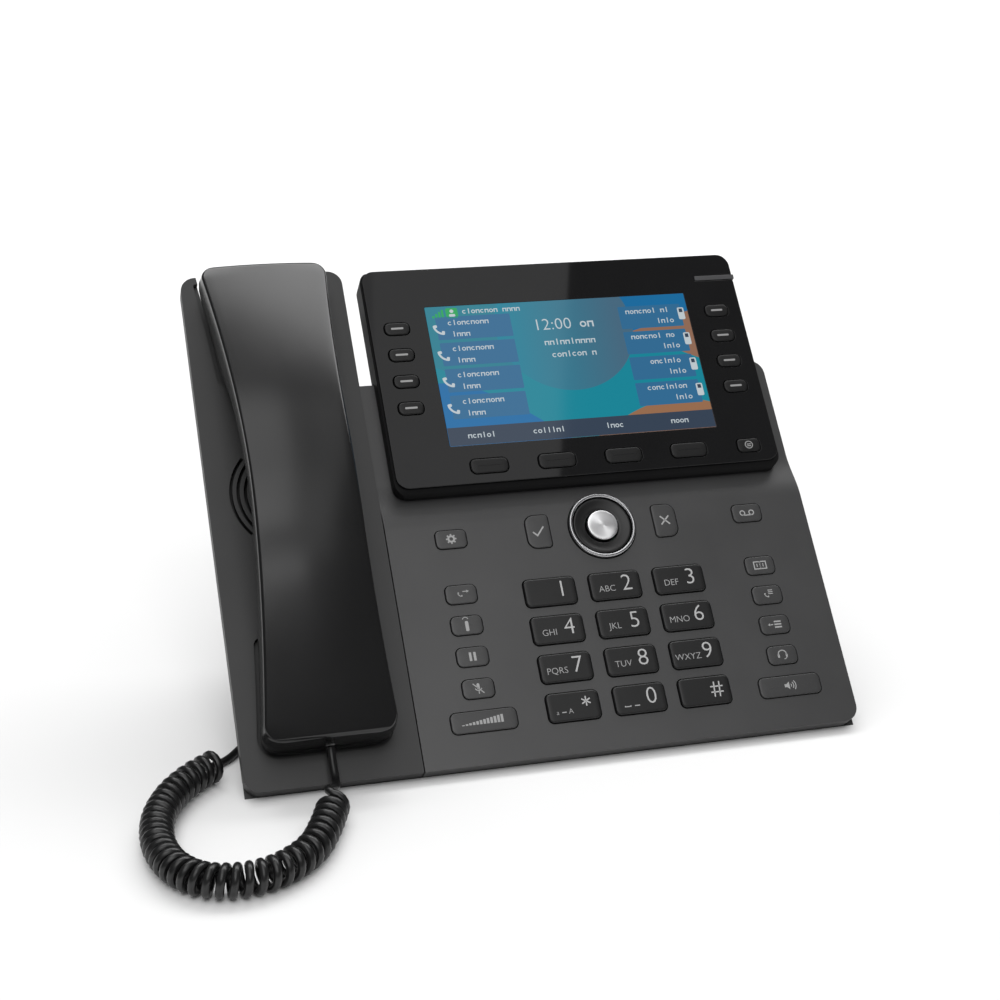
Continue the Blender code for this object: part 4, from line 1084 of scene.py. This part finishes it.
def smooth_curve(points, steps):
    """A smooth curve through the given points, with a number of steps between each pair."""
    points = [Vector(point) for point in points]
    padded = [2 * points[0] - points[1], *points, 2 * points[-1] - points[-2]]
    curve = []
    for a, b, c, d in zip(padded, padded[1:], padded[2:], padded[3:]):
        for step in range(steps):
            t = step / steps
            curve.append(0.5 * (2 * b + (c - a) * t + (2 * a - 5 * b + 4 * c - d) * t * t
                                + (3 * b - a - 3 * c + d) * t ** 3))
    return curve + [points[-1]]


def helix_points():
    """The coiled part, along its route on the desk, with close turns that open a little at the front."""
    axis = smooth_curve([(x, y, COIL_HEIGHT) for x, y in COIL_ROUTE], 30)
    lengths = [0.0]
    for start, end in zip(axis, axis[1:]):
        lengths.append(lengths[-1] + (end - start).length)
    up = Vector((0, 0, 1))
    points = []
    count = round(TURNS * 16)
    near = 0
    for index in range(count + 1):
        part = index / count
        opening = math.sin(math.tau * (part - 0.05)) + math.sin(math.tau * 0.05)
        place = lengths[-1] * (part + 0.018 * opening)
        while near < len(lengths) - 2 and lengths[near + 1] < place:
            near += 1
        share = min((place - lengths[near]) / (lengths[near + 1] - lengths[near]), 1)
        ahead = (axis[min(near + 5, len(axis) - 1)] - axis[max(near - 4, 0)]).normalized()
        side = ahead.cross(up)
        turn = math.tau * TURNS * part + math.pi / 2
        points.append(axis[near].lerp(axis[near + 1], share)
                      + COIL_RADIUS * (side * math.cos(turn) + up * math.sin(turn)))
    return points


def cord_path():
    """The wire's centreline in millimetres from the panel's lower edge: tail, helix and tail."""
    to_base = Matrix.Scale(1 / MM, 4) @ Matrix.Translation((0, DEPTH_CENTRE * MM, 0))
    helix = helix_points()
    first, last = helix[0], helix[-1]
    upper = [to_base @ (PANEL @ Vector((HANDSET_X, v, PLUG_HEIGHT))) for v in (11.6, 6)]
    upper += [Vector((-87.0, -5.5, 9.0)), Vector((-88.2, -12.0, 9.6)), first + Vector((-1.2, 3.0, 0.2))]
    lower = [last + Vector((0.6, 1.8, -3.2)), Vector((-124.5, 30.5, 1.7)), Vector((-119.5, 34.3, 1.7)),
             Vector((-113, 43.3, 1.7)), Vector((-103.5, 55.3, 3))]
    lower += [to_base @ (PANEL @ Vector((*BASE_SOCKET, BACK - h))) for h in (12.4, 6.9)]
    start, end = smooth_curve([*upper, first, helix[2]], 6), smooth_curve([helix[-3], last, *lower], 6)
    return start[:-6] + helix[1:-1] + end[6:]


def tube(path, radius, sides=12):
    """Rings round a path, turned along it without twisting, with closed ends."""
    rings = []
    normal = None
    for index, point in enumerate(path):
        ahead = (path[min(index + 1, len(path) - 1)] - path[max(index - 1, 0)]).normalized()
        if normal is None:
            normal = ahead.orthogonal().normalized()
        normal = (normal - ahead * normal.dot(ahead)).normalized()
        other = ahead.cross(normal)
        rings.append([point + radius * (normal * math.cos(a) + other * math.sin(a))
                      for a in (math.tau * side / sides for side in range(sides))])
    return lofted(rings)


def make_plug(name, rings, body, node):
    return make_piece(name, lofted(rings), "clear_plug", body, [node], bevel=0.3)


def make_cord():
    path = cord_path()
    cord = make_piece("curly_cord", tube(path, WIRE / 2), "cord_rubber", None,
                      ["cord_coil", "cord_handset_tail", "cord_base_tail"], place=BASE)
    boot = []
    for depth, radius in ((-0.5, 1.9), (0.5, 2.2), (9, 2.4)):
        boot.append([(HANDSET_X + dx, HANDSET_LOW + depth, PLUG_HEIGHT + dh)
                     for dx, dh in circle(0, 0, radius, 32)])
    upper = make_plug("handset_plug_body", boot, "handset", "handset_plug")
    x, v = BASE_SOCKET
    rings = []
    for h, scale in ((BACK - 7, 0.6), (BACK - 3, 1.0), (BACK + 8, 1.0)):
        rings.append(at(box_outline(x - 3.8 * scale, x + 3.8 * scale, v - 3.2 * scale, v + 3.2 * scale), h))
    lower = make_plug("base_plug_body", rings, "base", "base_plug")
    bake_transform(cord)


# ---------------------------------------------------------------- back, stand and inside

SIDE_LEAN = 0.33
SOCKETS = ((-22, 13, 11), (0, 13, 11), (22, 9, 8.6))
SOCKET_V = 45
HOOK_X, HOOK_SLOT_V = 50, 139.5
VENT_X, VENT_V, VENT_PITCH = 88, 89, 5
SCREWS = [(x, v) for x in (-60, 10, 80) for v in (28, 126)]


def foot_v(h):
    """Where the desk plane crosses a given panel height."""
    return (-EDGE_HEIGHT - h * math.cos(TILT)) / math.sin(TILT)


def to_base(v, h):
    """A point of the side view in the upright base frame, as (y, z)."""
    return (v * math.cos(TILT) - h * math.sin(TILT), EDGE_HEIGHT + v * math.sin(TILT) + h * math.cos(TILT))


def draw_in(h):
    """How far the leaning sides have come in at a given height behind the rim."""
    return SIDE_LEAN * (-RIM - h)


def make_rear_housing():
    top = -RIM - 0.5
    profile = [(foot_v(top), top), (foot_v(BACK), BACK), (PANEL_LENGTH - 8, BACK),
               (PANEL_LENGTH - 0.5, UPPER_BACK), (UPPER_END, UPPER_BACK), (UPPER_END, top)]
    shell = lofted(across(profile, LEFT - 5, RIGHT + 5))
    low_v, upper_x = -5, SEAM - 0.4
    rings = []
    for height in (0, BACK - 5):
        left, right = LEFT + draw_in(height), RIGHT - draw_in(height)
        outline = rounded((left + right) / 2, (low_v + PANEL_LENGTH - 0.5) / 2, right - left,
                          PANEL_LENGTH - 0.5 - low_v, (CORNER, 0.3, 0.3, 0.3))
        corner = outline[:7]
        rings.append(at([*corner, (upper_x, PANEL_LENGTH - 0.5), (upper_x, UPPER_END + 5),
                         (left, UPPER_END + 5), (left, low_v), (right, low_v)], height))
    shell = carve(shell, lofted(rings), 'INTERSECT')
    slope = (EDGE_HEIGHT - WALL) / math.cos(TILT)
    inner = [(5, 0), (5, -slope - 5 * math.tan(TILT)), ((-BACK - WALL - slope) / math.tan(TILT), BACK + WALL),
             (PANEL_LENGTH - 9, BACK + WALL), (PANEL_LENGTH - 3, UPPER_BACK + 1), (PANEL_LENGTH - 3, 0)]
    hollow = [[(side * (RIGHT - WALL - draw_in(h)), v, h) for v, h in inner] for side in (-1, 1)]
    shell = carve(shell, lofted(hollow))
    upper = box_outline(LEFT + WALL + draw_in(UPPER_BACK), upper_x - WALL, PANEL_LENGTH - 10,
                        UPPER_END - WALL)
    shell = carve(shell, lofted(prism(upper, UPPER_BACK + WALL, 0)))
    mouths = (BACK - 5, BACK + WALL + 3)
    tools = [prism(rounded(PANEL_X + x, SOCKET_V, width, height, 0.5, 3), *mouths)
             for x, width, height in SOCKETS]
    tools.append(prism(rounded(BASE_SOCKET[0], BASE_SOCKET[1], 8.4, 7.2, 0.4, 3), *mouths))
    for side in (-1, 1):
        tools.append(prism(rounded(side * HOOK_X, HOOK_SLOT_V, 13, 4.6, 0.4, 3), *mouths))
    shell = carve(shell, lofted(*tools))
    vents = [prism(rounded(side * VENT_X, VENT_V + row * VENT_PITCH, 26, 1.8, 0.85, 4), *mouths)
             for row in range(7) for side in (-1, 1)]
    shell = carve(shell, lofted(*vents))
    wells = [prism(circle(x, v, 3.2, 32), BACK - 5, BACK + 1.2) for x, v in SCREWS]
    shell = carve(shell, lofted(*wells))
    shell = carve(shell, lofted(prism(rounded(0, 84, 62, 30, 2, 5), BACK - 5, BACK + 0.3)))
    make_piece("back_shell", shell, "black_matte", "base", ["rear_housing"],
               bevel=0.35, angle=25)


def make_back_details():
    heads = lofted(*([at(circle(x, v, radius, 32), BACK + depth)
                      for radius, depth in ((2.6, 1.1), (2.6, 0.5), (2.1, 0.15))] for x, v in SCREWS))
    for half_x, half_v in ((1.3, 0.25), (0.25, 1.3)):
        bars = [box_outline(x - half_x, x + half_x, v - half_v, v + half_v) for x, v in SCREWS]
        heads = carve(heads, lofted(*(prism(bar, BACK - 1, BACK + 0.6) for bar in bars)))
    make_piece("back_screws", heads, "speaker_steel", "base", angle=40)
    contacts, sleeves = [], []
    for x, width, height in SOCKETS:
        outer = rounded(PANEL_X + x, SOCKET_V, width - 0.3, height - 0.3, 0.4, 3)
        inner = rounded(PANEL_X + x, SOCKET_V, width - 2.0, height - 2.0, 0.3, 3)
        sleeves.append([at(outer, BACK + 9), at(outer, BACK + 0.2), at(inner, BACK + 0.2),
                        at(inner, BACK + 8)])
        pins, floor_v = 8 if width > 10 else 4, SOCKET_V - height / 2
        for pin in range(pins):
            pin_x = PANEL_X + x + (pin - (pins - 1) / 2) * 1.02
            strip = box_outline(pin_x - 0.2, pin_x + 0.2, floor_v + 1.2, floor_v + 2.4)
            contacts.append(prism(strip, BACK + 1.5, BACK + 7.5))
    make_piece("socket_sleeves", lofted(*sleeves), "dark", "base", angle=40)
    make_piece("socket_contacts", lofted(*contacts), "gold", "base", angle=40)


def make_stand():
    front, back = BACK - 0.4, BACK - 4
    crest, foot, sheet = to_base(150, front), 134, 4
    lean = (foot - crest[0]) / crest[1]
    inner_foot = foot - sheet * math.hypot(1, lean) - lean * sheet
    slope = math.tan(TILT)
    low_back = to_base(72, back)
    inner_y = (inner_foot + lean * (sheet - low_back[1] + slope * low_back[0])) / (1 + lean * slope)
    inner_z = low_back[1] + slope * (inner_y - low_back[0])
    profile = [to_base(72, front), crest, (foot, 0), (foot - 22, 0), (foot - 22, sheet), (inner_foot, sheet),
               (inner_y, inner_z), low_back]
    stand = lofted(across(profile, -72, 72))
    web = [to_base(88, back + 1), to_base(143, back + 1),
           (inner_foot - lean * inner_z * 0.3 + 1, inner_z * 0.35)]
    webs = [across(web, x, x + 3) for x in (-68, 65)]
    stand = carve(stand, lofted(*webs), 'UNION')
    tabs = [prism(box_outline(side * HOOK_X - 6, side * HOOK_X + 6, HOOK_SLOT_V - 1.8, HOOK_SLOT_V + 1.8),
                  front - 1, BACK + WALL + 1.2) for side in (-1, 1)]
    tab_data = lofted(*tabs)
    tab_data.transform(BASE.inverted() @ PANEL)
    stand = carve(stand, tab_data, 'UNION')
    make_piece("stand_frame", stand, "black_matte", "base", ["desk_stand"],
               place=BASE, bevel=0.6)


def dress_hidden_parts():
    """CAD nodes that stay: only their surfaces change."""
    surfaces = {"main_board": "circuit_board", "loudspeaker": "dark", "hook_switch": "black_matte"}
    for node, material in surfaces.items():
        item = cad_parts[node]
        for index in range(max(1, len(item.material_slots))):
            if item.material_slots:
                item.material_slots[index].material = MATERIALS[material]
            else:
                item.data.materials.append(MATERIALS[material])


MATERIALS = make_materials()
make_camera()
make_cord()
make_stage()
make_lights()
make_front_housing()
make_cradle()
make_display()
make_screen_print()
make_navigation()
make_dial()
make_function_keys()
make_display_keys()
make_handset()
make_rear_housing()
make_back_details()
make_stand()
light_the_panel()
dress_hidden_parts()
